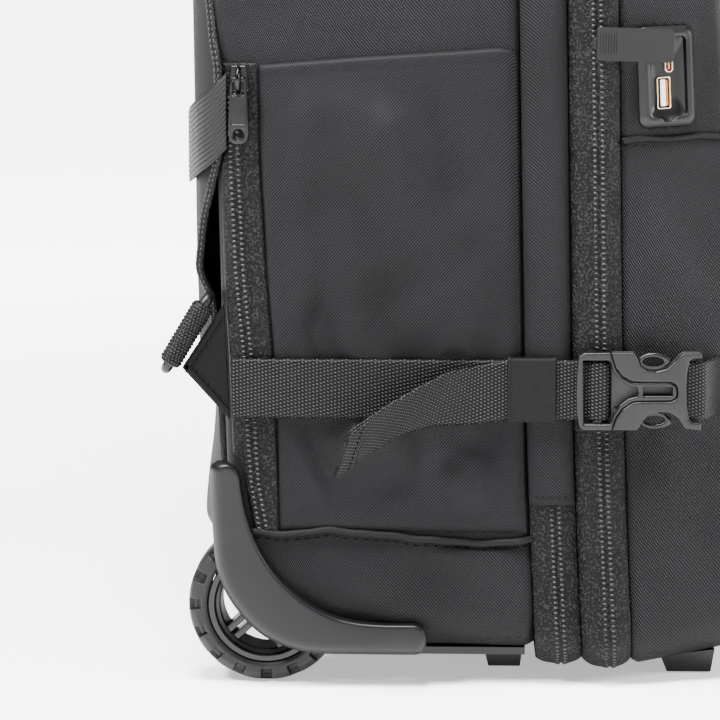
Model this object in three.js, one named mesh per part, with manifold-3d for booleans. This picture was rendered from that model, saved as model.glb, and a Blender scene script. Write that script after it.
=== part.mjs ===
// Wheeled backpack in millimetres: +X is its front, -X its harness side, -Y the wearer's left, +Z up.
// Left-hand pieces are modelled at -Y and mirrored for the right. Heights count from the floor, and
// depths count from the back of the harness cover until the last lines centre the bag on its origin.
import * as THREE from 'three';
import { mergeVertices } from 'three/addons/utils/BufferGeometryUtils.js';
import Module from 'manifold-3d';

const wasm = await Module();
wasm.setup();

// Clearances
const seamGap = 0.3;
const runningGap = 0.4;
const cutMargin = 6;

// Body
const bagTop = 515;
const sideFace = 164;
const backFace = 12.5;
const clothWall = 2.4;
const backRound = 8;
const topRadius = 52;
const footRadius = 20;
const baseHeight = 14;
const rearCornerRadius = 65;
const expansionSeam = 141.8;
const zipSeam = 162;
const frontSeam = 183.7;
const bandFoot = 8;
const bandWall = 2;
const bandPuff = 2.2;

// Lean of the seams: they tip back above the pivot height and bow forward below it
const leanPivot = 163;
const leanSlope = 0.022;
const leanBow = 0.00013;

// Front compartment
const frontFoot = 237.6;
const frontKnee = 100;
const frontSlope = 0.095;
const frontRecess = 17;
const frontBulge = 9;
const frontBase = 6;

// Side pocket and its zip
const pocketFoot = 67.5;
const pocketTopRear = 267;
const pocketTopFront = 274;
const pocketThickness = 2;
const pocketPuff = 0.9;
const tapeThickness = 1.2;
const coilWidth = 5.8;
const coilHeight = 1.1;
const zipFoot = 68;
const zipTop = 268;

// Webbing and buckle
const webbingWidth = 25.4;
const webbingThickness = 1.4;
const strapHeight = 130.2;
const strapStart = 17.8;
const keeperStart = 134.8;
const keeperLength = 21;
const keeperWall = 1;
const buckleStart = 164;
const buckleLength = 47;
const buckleWidth = 33.2;
const buckleFrame = 3;
const buckleSplit = 15.4;
const barPlace = 8.2;
const railWidth = 2;
const barWidth = 4;
const barThickness = 2.2;
const prongThickness = 3;

// Wheel
const wheelRadius = 34;
const wheelX = 31.3;
const tyreWidth = 23;
const rimRadius = 25.3;
const rimOpening = 21.5;
const hubRadius = 7;
const axleRadius = 3;
const spokeWidth = 3;
const spokeSpread = 7.4;
const wheelInset = 15;
const wheelY = sideFace - wheelInset;
const treadBlocks = 16;
const treadDepth = 2.6;
const treadReach = 6;

// Wheel guard and housing
const guardLeft = 7.6;
const guardRight = 101.3;
const guardFoot = 13.6;
const guardTop = 99.4;
const guardArm = 14;
const guardInner = sideFace + seamGap;
const guardThickness = 6.7;
const guardOuter = guardInner + guardThickness;
const guardBevel = 2.6;
const wheelClearance = 5;
const housingWall = 2.4;

// Harness side
const coverBack = -1.6;
const coverThickness = 3.4;
const coverFoot = 124;
const coverTop = 496;
const elasticWidth = 32;
const elasticThickness = 1.2;
const elasticHeight = 231;
const elasticRise = 17;
const tabThickness = 2;
const ringWire = 2.6;
const ringReach = 13;
const loopRadius = 5;

// Charging port
const portX = 201.2;
const portHeight = 262.3;
const portTilt = 3;
const bezelWidth = 26.5;
const bezelHeight = 42.5;
const bezelRise = 2.6;
const recessWidth = 17;
const recessHeight = 33.5;
const recessDepth = 5;
const portDepth = 9;
const coverPivotX = -0.8;
const coverPivotHeight = 12.8;
const coverLength = 35.5;
const coverWidth = 14;
const coverPlate = 2;
const coverTurn = 94.6;
const pegRadius = 1.6;

// Pull handle
const handleX = 27;
const handleSpread = 62;
const guideWidth = 20;
const guideDepth = 15;
const tubeWall = 1.4;
const guideFoot = 96;
const gripHeight = 15;
const bezelThickness = 4;

// Finishes
const cloth = { color: 0x2b2b2d, roughness: 0.9, metalness: 0 };
const webbing = { color: 0x1d1d1f, roughness: 0.85, metalness: 0 };
const rubber = { color: 0x1b1b1c, roughness: 0.75, metalness: 0 };
const plastic = { color: 0x3a3b3d, roughness: 0.5, metalness: 0 };
const darkPlastic = { color: 0x17181a, roughness: 0.45, metalness: 0 };
const metal = { color: 0x2c2d30, roughness: 0.35, metalness: 1 };
const aluminium = { color: 0x9a9ca0, roughness: 0.35, metalness: 1 };

const radians = THREE.MathUtils.degToRad;
const lerp = THREE.MathUtils.lerp;
const lean = (z) => leanSlope * (leanPivot - z) + leanBow * Math.max(0, leanPivot - z) ** 2;

const group = new THREE.Group();

function add(name, geometry, finish) {
  const mesh = new THREE.Mesh(geometry, new THREE.MeshStandardMaterial(finish));
  mesh.name = name;
  group.add(mesh);
}

// A piece modelled on the left and its mirror image on the right
function addPair(name, geometry, finish) {
  add(`${name}_left`, geometry, finish);
  add(`${name}_right`, welded(geometry.clone().scale(1, -1, 1)), finish);
}

// Signed volume of an indexed closed surface
function signedVolume(geometry) {
  const position = geometry.getAttribute('position');
  const corner = [0, 1, 2].map(() => new THREE.Vector3());
  let volume = 0;
  for (let i = 0; i < geometry.index.count; i += 3) {
    corner.forEach((v, k) => v.fromBufferAttribute(position, geometry.index.getX(i + k)));
    volume += corner[0].dot(corner[1].cross(corner[2])) / 6;
  }
  return volume;
}

// The same surface with every face pointing out
function facingOut(geometry) {
  if (signedVolume(geometry) < 0) {
    const order = Array.from(geometry.index.array);
    for (let i = 0; i < order.length; i += 3) {
      [order[i + 1], order[i + 2]] = [order[i + 2], order[i + 1]];
    }
    geometry.setIndex(order);
  }
  return geometry;
}

// Triangles over one ring, wound the way the ring runs
function capFaces(ring) {
  const normal = new THREE.Vector3();
  ring.forEach((p, i) => {
    const q = ring[(i + 1) % ring.length];
    normal.x += (p.y - q.y) * (p.z + q.z);
    normal.y += (p.z - q.z) * (p.x + q.x);
    normal.z += (p.x - q.x) * (p.y + q.y);
  });
  normal.normalize();
  const steep = Math.abs(normal.x) >= Math.SQRT1_2;
  const helper = new THREE.Vector3(steep ? 0 : 1, steep ? 1 : 0, 0);
  const across = helper.cross(normal).normalize();
  const along = new THREE.Vector3().crossVectors(normal, across);
  const flat = ring.map((p) => new THREE.Vector2(p.dot(across), p.dot(along)));
  const turn = Math.sign(THREE.ShapeUtils.area(flat));
  return THREE.ShapeUtils.triangulateShape(flat, []).map(([a, b, c]) => {
    const area = THREE.ShapeUtils.area([flat[a], flat[b], flat[c]]);
    return area * turn < 0 ? [a, c, b] : [a, b, c];
  });
}

// Skin over rings of one point count: its ends are capped, or it closes on itself
function loft(rings, closed = false) {
  const count = rings[0].length;
  const index = [];
  const spans = closed ? rings.length : rings.length - 1;
  for (let r = 0; r < spans; r += 1) {
    const here = r * count;
    const next = ((r + 1) % rings.length) * count;
    for (let i = 0; i < count; i += 1) {
      const j = (i + 1) % count;
      index.push(here + i, here + j, next + j, here + i, next + j, next + i);
    }
  }
  if (!closed) {
    const last = (rings.length - 1) * count;
    capFaces(rings[0]).forEach(([a, b, c]) => index.push(a, c, b));
    capFaces(rings.at(-1)).forEach(([a, b, c]) => index.push(last + a, last + b, last + c));
  }
  const geometry = new THREE.BufferGeometry().setFromPoints(rings.flat());
  geometry.setIndex(index);
  return facingOut(geometry);
}

// Plain geometry with shared corners, ready to be joined or cut
function welded(geometry) {
  const plain = geometry.clone();
  plain.deleteAttribute('normal');
  plain.deleteAttribute('uv');
  return facingOut(mergeVertices(plain, 1e-4));
}

function solid(geometry) {
  const plain = welded(geometry);
  return new wasm.Manifold(new wasm.Mesh({
    numProp: 3,
    vertProperties: new Float32Array(plain.getAttribute('position').array),
    triVerts: new Uint32Array(plain.index.array),
  }));
}

function geometryOf(body) {
  const mesh = body.getMesh();
  const geometry = new THREE.BufferGeometry();
  geometry.setAttribute('position', new THREE.BufferAttribute(new Float32Array(mesh.vertProperties), 3));
  geometry.setIndex(Array.from(mesh.triVerts));
  return geometry;
}

const joined = (...parts) => geometryOf(parts.map(solid).reduce((a, b) => a.add(b)));
const cut = (from, ...tools) => geometryOf(tools.map(solid).reduce((a, b) => a.subtract(b), solid(from)));

function boxBetween(low, high) {
  const size = high.map((v, i) => v - low[i]);
  return new THREE.BoxGeometry(...size).translate(...low.map((v, i) => v + size[i] / 2));
}

// Cylinder along Y between two depths
function crossPin(x, z, radius, nearY, farY, sides) {
  const pin = new THREE.CylinderGeometry(radius, radius, farY - nearY, sides);
  return pin.translate(x, (nearY + farY) / 2, z);
}

// A flat outline drawn in depth and height, standing on the left side between two distances from
// the middle of the bag
function sidePlate(shape, innerY, outerY, curveSegments = 4) {
  const plate = new THREE.ExtrudeGeometry(shape, {
    depth: outerY - innerY,
    bevelEnabled: false,
    curveSegments,
  });
  plate.translate(0, 0, innerY);
  return plate.applyMatrix4(new THREE.Matrix4().makeBasis(
    new THREE.Vector3(1, 0, 0),
    new THREE.Vector3(0, 0, 1),
    new THREE.Vector3(0, -1, 0),
  ));
}

function roundedRectangle(left, foot, right, top, radius) {
  const path = new THREE.Shape();
  path.moveTo(left + radius, foot);
  path.lineTo(right - radius, foot);
  path.absarc(right - radius, foot + radius, radius, -Math.PI / 2, 0);
  path.lineTo(right, top - radius);
  path.absarc(right - radius, top - radius, radius, 0, Math.PI / 2);
  path.lineTo(left + radius, top);
  path.absarc(left + radius, top - radius, radius, Math.PI / 2, Math.PI);
  path.lineTo(left, foot + radius);
  path.absarc(left + radius, foot + radius, radius, Math.PI, Math.PI * 1.5);
  path.closePath();
  return path;
}

// Outlines of the bag across its depth
const cornerSteps = 3;
const wallShares = [0, 0.1, 0.2, 0.31];

const cornerArc = (y, z, radius, from) => Array.from({ length: cornerSteps + 1 }, (_, i) => {
  const angle = from + (Math.PI / 2) * (i / cornerSteps);
  return [y + radius * Math.cos(angle), z + radius * Math.sin(angle)];
});

// Half-loop from the foot of the right wall over the top to the foot of the left wall
function archOutline({ half, top, foot, radius, shares = wallShares }) {
  const shoulder = top - radius;
  const rise = shares.map((share) => [half, lerp(foot, shoulder, share)]);
  const fall = rise.map(([y, z]) => [-y, z]).reverse();
  return [
    ...rise,
    ...cornerArc(half - radius, shoulder, radius, 0),
    ...cornerArc(radius - half, shoulder, radius, Math.PI / 2),
    ...fall,
  ];
}

function bagOutline({ half, top, foot, radius, baseRadius, shares }) {
  const arch = archOutline({ half, top, foot: foot + baseRadius, radius, shares });
  return [
    ...arch.slice(1, -1),
    ...cornerArc(baseRadius - half, foot + baseRadius, baseRadius, Math.PI),
    ...cornerArc(half - baseRadius, foot + baseRadius, baseRadius, Math.PI * 1.5),
  ];
}

// Corner points of a drawn outline, without the repeats where its lines and arcs meet
function tracePoints(shape, divisions) {
  const points = shape.getPoints(divisions);
  return points.filter((p, i) => p.distanceTo(points[(i + 1) % points.length]) > seamGap / 10);
}

const leaned = (outline, x) => outline.map(([y, z]) => new THREE.Vector3(x + lean(z), y, z));

// Height of the main compartment's rounded rear foot, whose wall is thinned on the inside
const rearCornerX = backFace + rearCornerRadius;
const rearCornerZ = baseHeight + rearCornerRadius;
function mainFoot(x, wall) {
  const reach = Math.max(0, rearCornerX - x);
  return rearCornerZ - Math.sqrt(Math.max(0, (rearCornerRadius - wall) ** 2 - reach ** 2));
}

// Inset of the rounded edge round the back face
function backInset(x, wall) {
  const radius = backRound - wall;
  const left = Math.max(0, radius - (x - backFace - wall));
  return wall + radius - Math.sqrt(Math.max(0, radius ** 2 - left ** 2));
}

// Depths of the main compartment's sections, as shares of the rear corner's radius
const mainStations = [0, 0.04, 0.12, 0.28, 0.5, 0.75, 1];

function mainVolume(wall, frontX) {
  const depths = mainStations.map((share) => backFace + wall + share * (rearCornerRadius - wall));
  return loft([...depths, frontX].map((x) => {
    const inset = backInset(x, wall);
    return leaned(bagOutline({
      half: sideFace - inset,
      top: bagTop - inset,
      foot: mainFoot(x, wall),
      radius: topRadius - inset,
      baseRadius: footRadius - wall,
    }), x);
  }));
}

// Wheel guard: two quarter curves joined by rounded ends
function quarterCurve(centreX, centreZ, reachX, reachZ, power, steps) {
  return Array.from({ length: steps + 1 }, (_, i) => {
    const angle = (Math.PI / 2) * (i / steps);
    return new THREE.Vector2(
      centreX - reachX * Math.cos(angle) ** (2 / power),
      centreZ - reachZ * Math.sin(angle) ** (2 / power),
    );
  });
}

// Shares of the guard's length and height where its outer and inner curves are centred
const guardCurves = {
  outer: { centreX: 0.58, centreZ: 0.74, power: 2.3, steps: 9 },
  inner: { centreX: 0.8, centreZ: 0.93, power: 2.05, steps: 8 },
};

function guardCurve({ centreX, centreZ, power, steps }, inset) {
  const x = lerp(guardLeft, guardRight, centreX);
  const z = lerp(guardFoot, guardTop, centreZ);
  return quarterCurve(x, z, x - guardLeft - inset, z - guardFoot - inset, power, steps);
}

function guardOutline() {
  const round = guardArm / 3.5;
  return [
    new THREE.Vector2(guardLeft, guardTop - round),
    ...guardCurve(guardCurves.outer, 0),
    new THREE.Vector2(guardRight - round, guardFoot),
    new THREE.Vector2(guardRight - round / 4, guardFoot + round),
    new THREE.Vector2(guardRight, guardFoot + guardArm * 0.65),
    new THREE.Vector2(guardRight - round / 2, guardFoot + guardArm * 0.93),
    ...guardCurve(guardCurves.inner, guardArm).reverse(),
    new THREE.Vector2(guardLeft + guardArm * 0.92, guardTop - round * 1.8),
    new THREE.Vector2(guardLeft + guardArm * 0.78, guardTop - round * 0.7),
    new THREE.Vector2(guardLeft + round * 0.6, guardTop),
  ];
}

// The outline moved inwards along the bisector of its neighbouring edges
function insetOutline(outline, distance) {
  const area = Math.sign(THREE.ShapeUtils.area(outline));
  return outline.map((p, i) => {
    const before = outline[(i + outline.length - 1) % outline.length];
    const after = outline[(i + 1) % outline.length];
    const run = after.clone().sub(before).normalize();
    return new THREE.Vector2(p.x - run.y * distance * area, p.y + run.x * distance * area);
  });
}

const atSide = (outline, y) => outline.map((p) => new THREE.Vector3(p.x, -y, p.y));

// Wheel housing volume: a cylinder round the wheel, kept inside the rear corner of the body. Its
// mouth in the side wall lies outside a line just behind the guard's inner edge.
const wellRadius = wheelRadius + wheelClearance;
const housingInner = wheelY - tyreWidth / 2 - wheelClearance;
const housingOuter = sideFace - clothWall - seamGap;
const mouthOverlap = 3;

function cornerPrism(inset, innerY, outerY) {
  const shape = new THREE.Shape();
  const radius = rearCornerRadius - inset;
  shape.absarc(rearCornerX, rearCornerZ, radius, Math.PI, Math.PI * 1.5);
  shape.lineTo(rearCornerX + radius, rearCornerZ - radius);
  shape.lineTo(rearCornerX + radius, rearCornerZ + radius);
  shape.lineTo(rearCornerX - radius, rearCornerZ + radius);
  shape.closePath();
  return sidePlate(shape, innerY, outerY, 10);
}

const wellCylinder = (grow, outer, inner) => crossPin(
  wheelX, wheelRadius, wellRadius + grow, -outer, -inner, 28);

function wheelHousing() {
  const outside = solid(wellCylinder(housingWall, housingOuter, housingInner - housingWall));
  const inside = solid(wellCylinder(0, guardInner + cutMargin, housingInner));
  return geometryOf(outside.intersect(solid(cornerPrism(0, 0, guardInner + cutMargin))).subtract(inside));
}

// The opening in the side wall through which the wheel shows
function wheelMouth() {
  const edge = guardCurve(guardCurves.inner, guardArm - mouthOverlap);
  const shape = new THREE.Shape(edge);
  shape.lineTo(edge.at(-1).x, -cutMargin);
  shape.lineTo(-cutMargin, -cutMargin);
  shape.lineTo(-cutMargin, edge[0].y);
  shape.closePath();
  const inner = sideFace - clothWall - 1;
  const prism = solid(sidePlate(shape, inner, sideFace + cutMargin));
  return geometryOf(prism.intersect(solid(wellCylinder(housingWall, sideFace + cutMargin, inner))));
}

function mainCompartment() {
  const reachX = guideDepth / 2 + runningGap;
  const reachY = guideWidth / 2 + runningGap;
  const tubeHole = (side) => boxBetween(
    [handleX - reachX, side * handleSpread - reachY, bagTop - cutMargin],
    [handleX + reachX, side * handleSpread + reachY, bagTop + cutMargin],
  );
  const wellInside = housingInner - housingWall - seamGap;
  const well = wellCylinder(housingWall + seamGap, sideFace - clothWall + 0.1, wellInside);
  const mouth = wheelMouth();
  return cut(
    mainVolume(0, expansionSeam - seamGap / 2),
    mainVolume(clothWall, expansionSeam + cutMargin),
    well,
    mouth,
    well.clone().scale(1, -1, 1),
    mouth.clone().scale(1, -1, 1),
    tubeHole(1),
    tubeHole(-1),
  );
}

// Cross-section of a band between two seams: share of its width, and rise as a share of its puff
const zipProfile = [
  { along: 0, rise: 0 },
  { along: 0.15, rise: 0.75 },
  { along: 0.42, rise: 1 },
  { along: 0.45, rise: 1.5 },
  { along: 0.69, rise: 1.5 },
  { along: 0.72, rise: 1 },
  { along: 0.87, rise: 0.75 },
  { along: 1, rise: 0 },
];

function band(fromSeam, toSeam, profile) {
  const start = fromSeam + seamGap / 2;
  const width = toSeam - fromSeam - seamGap;
  const ringAt = (along, rise) => leaned(bagOutline({
    half: sideFace + rise,
    top: bagTop + rise,
    foot: bandFoot - rise,
    radius: topRadius + rise,
    baseRadius: footRadius + rise,
  }), start + along * width);
  const outer = profile.map(({ along, rise }) => ringAt(along, rise * bandPuff));
  return loft([...outer, ringAt(1, -bandWall), ringAt(0, -bandWall)], true);
}

// Cloth flap over the upper stretch of the expansion band
const flapFoot = 81;
const flapProfile = [
  { along: 0, rise: 0.4 },
  { along: 0.5, rise: 0.8 },
  { along: 1, rise: 0.4 },
];
const expansionProfile = [
  { along: 0, rise: 0 },
  { along: 0.5, rise: 0.35 },
  { along: 1, rise: 0 },
];

function expansionFlap() {
  const start = expansionSeam + seamGap / 2;
  const width = zipSeam - expansionSeam - seamGap;
  const lift = bandPuff * 0.35 + seamGap;
  const arch = (along, rise) => leaned(archOutline({
    half: sideFace + rise,
    top: bagTop + rise,
    foot: flapFoot,
    radius: topRadius + rise,
  }), start + along * width);
  const outer = flapProfile.map(({ along, rise }) => arch(along, lift + rise * bandPuff));
  const strips = [...outer, arch(1, lift), arch(0, lift)];
  return loft(strips[0].map((_, i) => strips.map((strip) => strip[i])));
}

// Front compartment: share of the way to the front seam, inset of the walls, rise of the foot,
// fall of the top and bulge of the face, all as shares of their named sizes
const frontRows = [
  { along: 0, inset: 0, lift: 0, bulge: 0 },
  { along: 0.5, inset: 0.5, lift: 0.5, bulge: 0 },
  { along: 1, inset: 1, lift: 1, bulge: 0.1 },
  { along: 1, inset: 1.5, lift: 1.8, bulge: 0.45 },
  { along: 1, inset: 2.8, lift: 3.8, bulge: 0.8 },
  { along: 1, inset: 5.5, lift: 8, bulge: 1 },
];
const frontWallShares = [0, 0.14, 0.31, 0.46, 0.61];
const frontEdge = (z) => frontFoot - frontSlope * Math.max(0, z - frontKnee);

function frontVolume(wall, openX) {
  const rings = frontRows.map(({ along, inset, lift, bulge }) => {
    const draw = inset * frontRecess + wall;
    const outline = bagOutline({
      half: sideFace - draw,
      top: bagTop - draw,
      foot: frontBase * (1 + lift) + wall,
      radius: Math.max(topRadius - draw, footRadius),
      baseRadius: footRadius - wall,
      shares: frontWallShares,
    });
    return outline.map(([y, z]) => {
      const seam = along === 0 ? openX : frontSeam + seamGap / 2;
      const x = lerp(seam + lean(z), frontEdge(z) - wall, along);
      return new THREE.Vector3(x + bulge * frontBulge, y, z);
    });
  });
  return loft(rings);
}

// Point on the front compartment's left wall
function frontWallPoint(x, z) {
  const seam = frontSeam + seamGap / 2 + lean(z);
  const share = (x - seam) / (frontEdge(z) + 0.1 * frontBulge - seam);
  return new THREE.Vector3(x, -(sideFace - share * frontRecess), z);
}

// Frame of the charging port: X along the wall, Y up it and Z out of it, tilted in its plane
function portFrame() {
  const centre = frontWallPoint(portX, portHeight);
  const along = frontWallPoint(portX + 1, portHeight).sub(centre).normalize();
  const up = frontWallPoint(portX, portHeight + 1).sub(centre).normalize();
  const out = new THREE.Vector3().crossVectors(along, up).normalize();
  const level = new THREE.Vector3().crossVectors(up, out);
  const frame = new THREE.Matrix4().makeBasis(level, up, out);
  frame.multiply(new THREE.Matrix4().makeRotationZ(radians(portTilt)));
  frame.setPosition(centre.addScaledVector(out, 2 * seamGap));
  return frame;
}
const portPlace = portFrame();

const plate = (shape, from, to, curveSegments = 3) => new THREE.ExtrudeGeometry(shape, {
  depth: to - from,
  bevelEnabled: false,
  curveSegments,
}).translate(0, 0, from);

const centredRectangle = (width, height, radius, x = 0, z = 0) => roundedRectangle(
  x - width / 2, z - height / 2, x + width / 2, z + height / 2, radius);

function frontCompartment() {
  const portHole = plate(
    centredRectangle(
      recessWidth + 2 * (housingWall + seamGap), recessHeight + 2 * (housingWall + seamGap), 2),
    -portDepth - cutMargin,
    cutMargin,
  ).applyMatrix4(portPlace);
  const outer = frontVolume(0, frontSeam + seamGap / 2);
  return cut(outer, frontVolume(clothWall, frontSeam - cutMargin), portHole);
}

add('main_compartment', mainCompartment(), cloth);
add('expansion_band', band(expansionSeam, zipSeam, expansionProfile), cloth);
add('expansion_flap', expansionFlap(), cloth);
add('main_zip_band', band(zipSeam, frontSeam, zipProfile), webbing);
add('front_compartment', frontCompartment(), cloth);

// Side zip: heights as shares of its length, edges and coil centre as depths at each height
const zipRows = [
  { share: 0, left: 26.6, coil: 30.6, right: 36.9 },
  { share: 0.1, left: 23, coil: 27.2, right: 36.6 },
  { share: 0.158, left: 21.2, coil: 26.4, right: 36.3 },
  { share: 0.166, left: 17.6, coil: 26.3, right: 36.2 },
  { share: 0.38, left: 16, coil: 24.3, right: 34.6 },
  { share: 0.56, left: 13.9, coil: 21, right: 31.8 },
  { share: 0.82, left: 12.8, coil: 18.9, right: 29.1 },
  { share: 1, left: 12.8, coil: 18, right: 28.6 },
];
const wallLevel = (x, z) => sideFace - backInset(Math.max(x - lean(z), backFace + 1), 0);

function sideZip() {
  return loft(zipRows.map(({ share, left, coil, right }) => {
    const z = lerp(zipFoot, zipTop, share);
    const point = (x, out) => new THREE.Vector3(x, -(wallLevel(x, z) + 2 * seamGap + out), z);
    const half = coilWidth / 2;
    const face = tapeThickness;
    return [
      point(left, 0),
      point(left, face),
      point(coil - half, face),
      point(coil - half + 0.5, face + coilHeight),
      point(coil + half - 0.5, face + coilHeight),
      point(coil + half, face),
      point(right, face),
      point(right, 0),
      point(Math.max(left + 1, backFace + backRound + lean(z)), 0),
    ];
  }));
}

// Side pocket: shares of its width and of its puff
const pocketColumns = [
  { across: 0, puff: -0.6 },
  { across: 0.03, puff: 0.2 },
  { across: 0.2, puff: 0.8 },
  { across: 0.5, puff: 1 },
  { across: 0.8, puff: 0.8 },
  { across: 0.97, puff: 0.2 },
  { across: 1, puff: -0.6 },
];
const pocketRows = [0, 0.03, 0.25, 0.5, 0.75, 0.97, 1];

function zipEdgeAt(z) {
  const share = THREE.MathUtils.clamp((z - zipFoot) / (zipTop - zipFoot), 0, 1);
  const upper = Math.max(1, zipRows.findIndex((row) => row.share >= share));
  const low = zipRows[upper - 1];
  const high = zipRows[upper];
  return lerp(low.right, high.right, (share - low.share) / (high.share - low.share));
}

function sidePocket() {
  return loft(pocketRows.map((share) => {
    const edge = share === 0 || share === 1 ? 0.4 : 1;
    const place = (across, out) => {
      const z = lerp(pocketFoot, lerp(pocketTopRear, pocketTopFront, across), share);
      const left = zipEdgeAt(z) + 3 * seamGap;
      const right = expansionSeam + lean(z) - 1;
      return new THREE.Vector3(lerp(left, right, across), -(sideFace + seamGap + out), z);
    };
    const outer = pocketColumns.map(({ across, puff }) => {
      return place(across, edge * (pocketThickness + puff * pocketPuff));
    });
    return [...outer, place(1, 0), place(0, 0)];
  }));
}

// Zip slider with the bridge that its puller hangs on
const sliderTop = 267;
const sliderLength = 12;
const sliderWidth = 9;
const sliderX = 21.2;
const sliderPlate = 1.5;
const bridgeWidth = 2.6;
const bridgeHeight = 5;
const bridgeBar = 1.6;
const pullerLength = 28;
const pullerWidth = 8.8;
const pullerThickness = 1.6;
const zipFace = sideFace + 2 * seamGap + tapeThickness + coilHeight;
const sliderFace = zipFace + seamGap + sliderPlate;
const pivotHeight = sliderTop - sliderLength * 0.5;
const pivotY = sliderFace + (bridgeHeight - bridgeBar) / 2;

function zipSlider() {
  const base = sidePlate(
    roundedRectangle(
      sliderX - sliderWidth / 2, sliderTop - sliderLength, sliderX + sliderWidth / 2, sliderTop, 2.5),
    zipFace + seamGap,
    sliderFace,
    2,
  );
  const low = sliderTop - sliderLength * 0.85;
  const high = sliderTop - sliderLength * 0.12;
  const left = sliderX - bridgeWidth / 2;
  const right = sliderX + bridgeWidth / 2;
  const top = sliderFace + bridgeHeight;
  const arch = boxBetween([left, -top, low], [right, -(sliderFace - sliderPlate / 2), high]);
  const passage = boxBetween(
    [left - 1, -(top - bridgeBar), low + bridgeBar],
    [right + 1, -sliderFace, high - bridgeBar],
  );
  return joined(base, cut(arch, passage));
}

function zipPuller() {
  const bar = 1.1;
  const top = pivotHeight + bar;
  const foot = top - pullerLength;
  const half = pullerWidth / 2;
  const neck = half * 0.78;
  const shape = new THREE.Shape();
  shape.moveTo(sliderX - neck, top - 1.5);
  shape.lineTo(sliderX - half, foot + half);
  shape.absarc(sliderX, foot + half, half, Math.PI, Math.PI * 2);
  shape.lineTo(sliderX + neck, top - 1.5);
  shape.lineTo(sliderX + neck - 1.2, top);
  shape.lineTo(sliderX - neck + 1.2, top);
  shape.closePath();
  shape.holes.push(
    roundedRectangle(sliderX - 2.2, pivotHeight - bar - 5.6, sliderX + 2.2, pivotHeight - bar, 0.9));
  const eye = new THREE.Path();
  eye.absarc(sliderX, foot + half, half * 0.52, 0, Math.PI * 2, true);
  shape.holes.push(eye);
  return sidePlate(shape, pivotY - pullerThickness / 2, pivotY + pullerThickness / 2, 3);
}

addPair('side_zip', sideZip(), webbing);
addPair('side_pocket', sidePocket(), cloth);
addPair('zip_slider', zipSlider(), metal);
addPair('zip_puller', zipPuller(), metal);

// Webbing laid through stations with a low and a high edge; the thickness is centred on them
function ribbon(stations, thickness) {
  const middle = stations.map(({ low, high }) => low.clone().add(high).multiplyScalar(0.5));
  return loft(stations.map(({ low, high }, i) => {
    const run = middle[Math.min(i + 1, middle.length - 1)].clone().sub(middle[Math.max(i - 1, 0)]);
    const normal = run.cross(high.clone().sub(low)).normalize().multiplyScalar(thickness / 2);
    return [
      low.clone().add(normal),
      high.clone().add(normal),
      high.clone().sub(normal),
      low.clone().sub(normal),
    ];
  }));
}

// Levels of the strap's two layers and of the buckle, counted from the middle of the bag
const pocketFace = sideFace + seamGap + pocketThickness + pocketPuff;
const lowerLayer = pocketFace + 2 * seamGap + keeperWall + webbingThickness / 2;
const upperLayer = lowerLayer + webbingThickness + seamGap;
const barLevel = lowerLayer + webbingThickness / 2 + seamGap + barThickness / 2;
const overBar = barLevel + barThickness / 2 + seamGap + webbingThickness / 2;
const barX = buckleStart + barPlace;
const strapLow = strapHeight - webbingWidth / 2;
const strapHigh = strapHeight + webbingWidth / 2;

// Free tail after the keeper: depth as a share of its reach back, stand-off as a share of its
// curl, and the fall and width of the webbing seen from the side
const tailReach = 70;
const tailCurl = 22;
const tailFall = 25;
const tailRows = [
  { back: 0, curl: 0, fall: 0, width: 1 },
  { back: 0.2, curl: 0.06, fall: 0.08, width: 0.98 },
  { back: 0.4, curl: 0.3, fall: 0.12, width: 0.93 },
  { back: 0.58, curl: 0.6, fall: 0.3, width: 0.95 },
  { back: 0.78, curl: 0.85, fall: 0.58, width: 0.96 },
  { back: 1, curl: 1, fall: 0.98, width: 0.97 },
];

function compressionStrap() {
  const level = (x, y) => ({
    low: new THREE.Vector3(x, -y, strapLow),
    high: new THREE.Vector3(x, -y, strapHigh),
  });
  const barRound = barWidth / 2 + 2 * seamGap + webbingThickness / 2;
  const run = [
    level(strapStart, lowerLayer),
    level(keeperStart, lowerLayer),
    level(barX + barRound * 0.55, lowerLayer),
    level(barX + barRound * 0.95, lerp(lowerLayer, overBar, 0.22)),
    level(barX + barRound, lerp(lowerLayer, overBar, 0.5)),
    level(barX + barRound * 0.95, lerp(lowerLayer, overBar, 0.78)),
    level(barX + barRound * 0.55, overBar),
    level(barX - barRound * 0.6, overBar),
    level(buckleStart + buckleFrame + 1.2, upperLayer),
    level(keeperStart + keeperLength, upperLayer),
  ];
  const tail = tailRows.map(({ back, curl, fall, width }) => {
    const x = keeperStart - back * tailReach;
    const y = -(upperLayer + curl * tailCurl);
    const z = strapHeight - fall * tailFall;
    const half = (webbingWidth / 2) * width;
    const slant = curl * 3;
    return {
      low: new THREE.Vector3(x - slant, y, z - half),
      high: new THREE.Vector3(x + slant, y + slant, z + half),
    };
  });
  return ribbon([...run, ...tail], webbingThickness);
}

// Elastic keeper: a sleeve round both layers
function strapKeeper() {
  const inner = lowerLayer - webbingThickness / 2 - seamGap;
  const outer = upperLayer + webbingThickness / 2 + seamGap;
  const low = strapLow - seamGap;
  const high = strapHigh + seamGap;
  const end = keeperStart + keeperLength;
  const sleeve = boxBetween(
    [keeperStart, -(outer + keeperWall), low - keeperWall],
    [end, -(inner - keeperWall), high + keeperWall],
  );
  return cut(sleeve, boxBetween([keeperStart - 1, -outer, low], [end + 1, -inner, high]));
}

// Buckle: levels of its faces
const buckleInner = lowerLayer - webbingThickness / 2;
const buckleOuter = overBar + webbingThickness / 2 + 0.6;
const prongInner = barLevel - prongThickness / 2;
const prongOuter = barLevel + prongThickness / 2;
const femaleStart = buckleStart + buckleSplit;
const femaleEnd = buckleStart + buckleLength;

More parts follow.
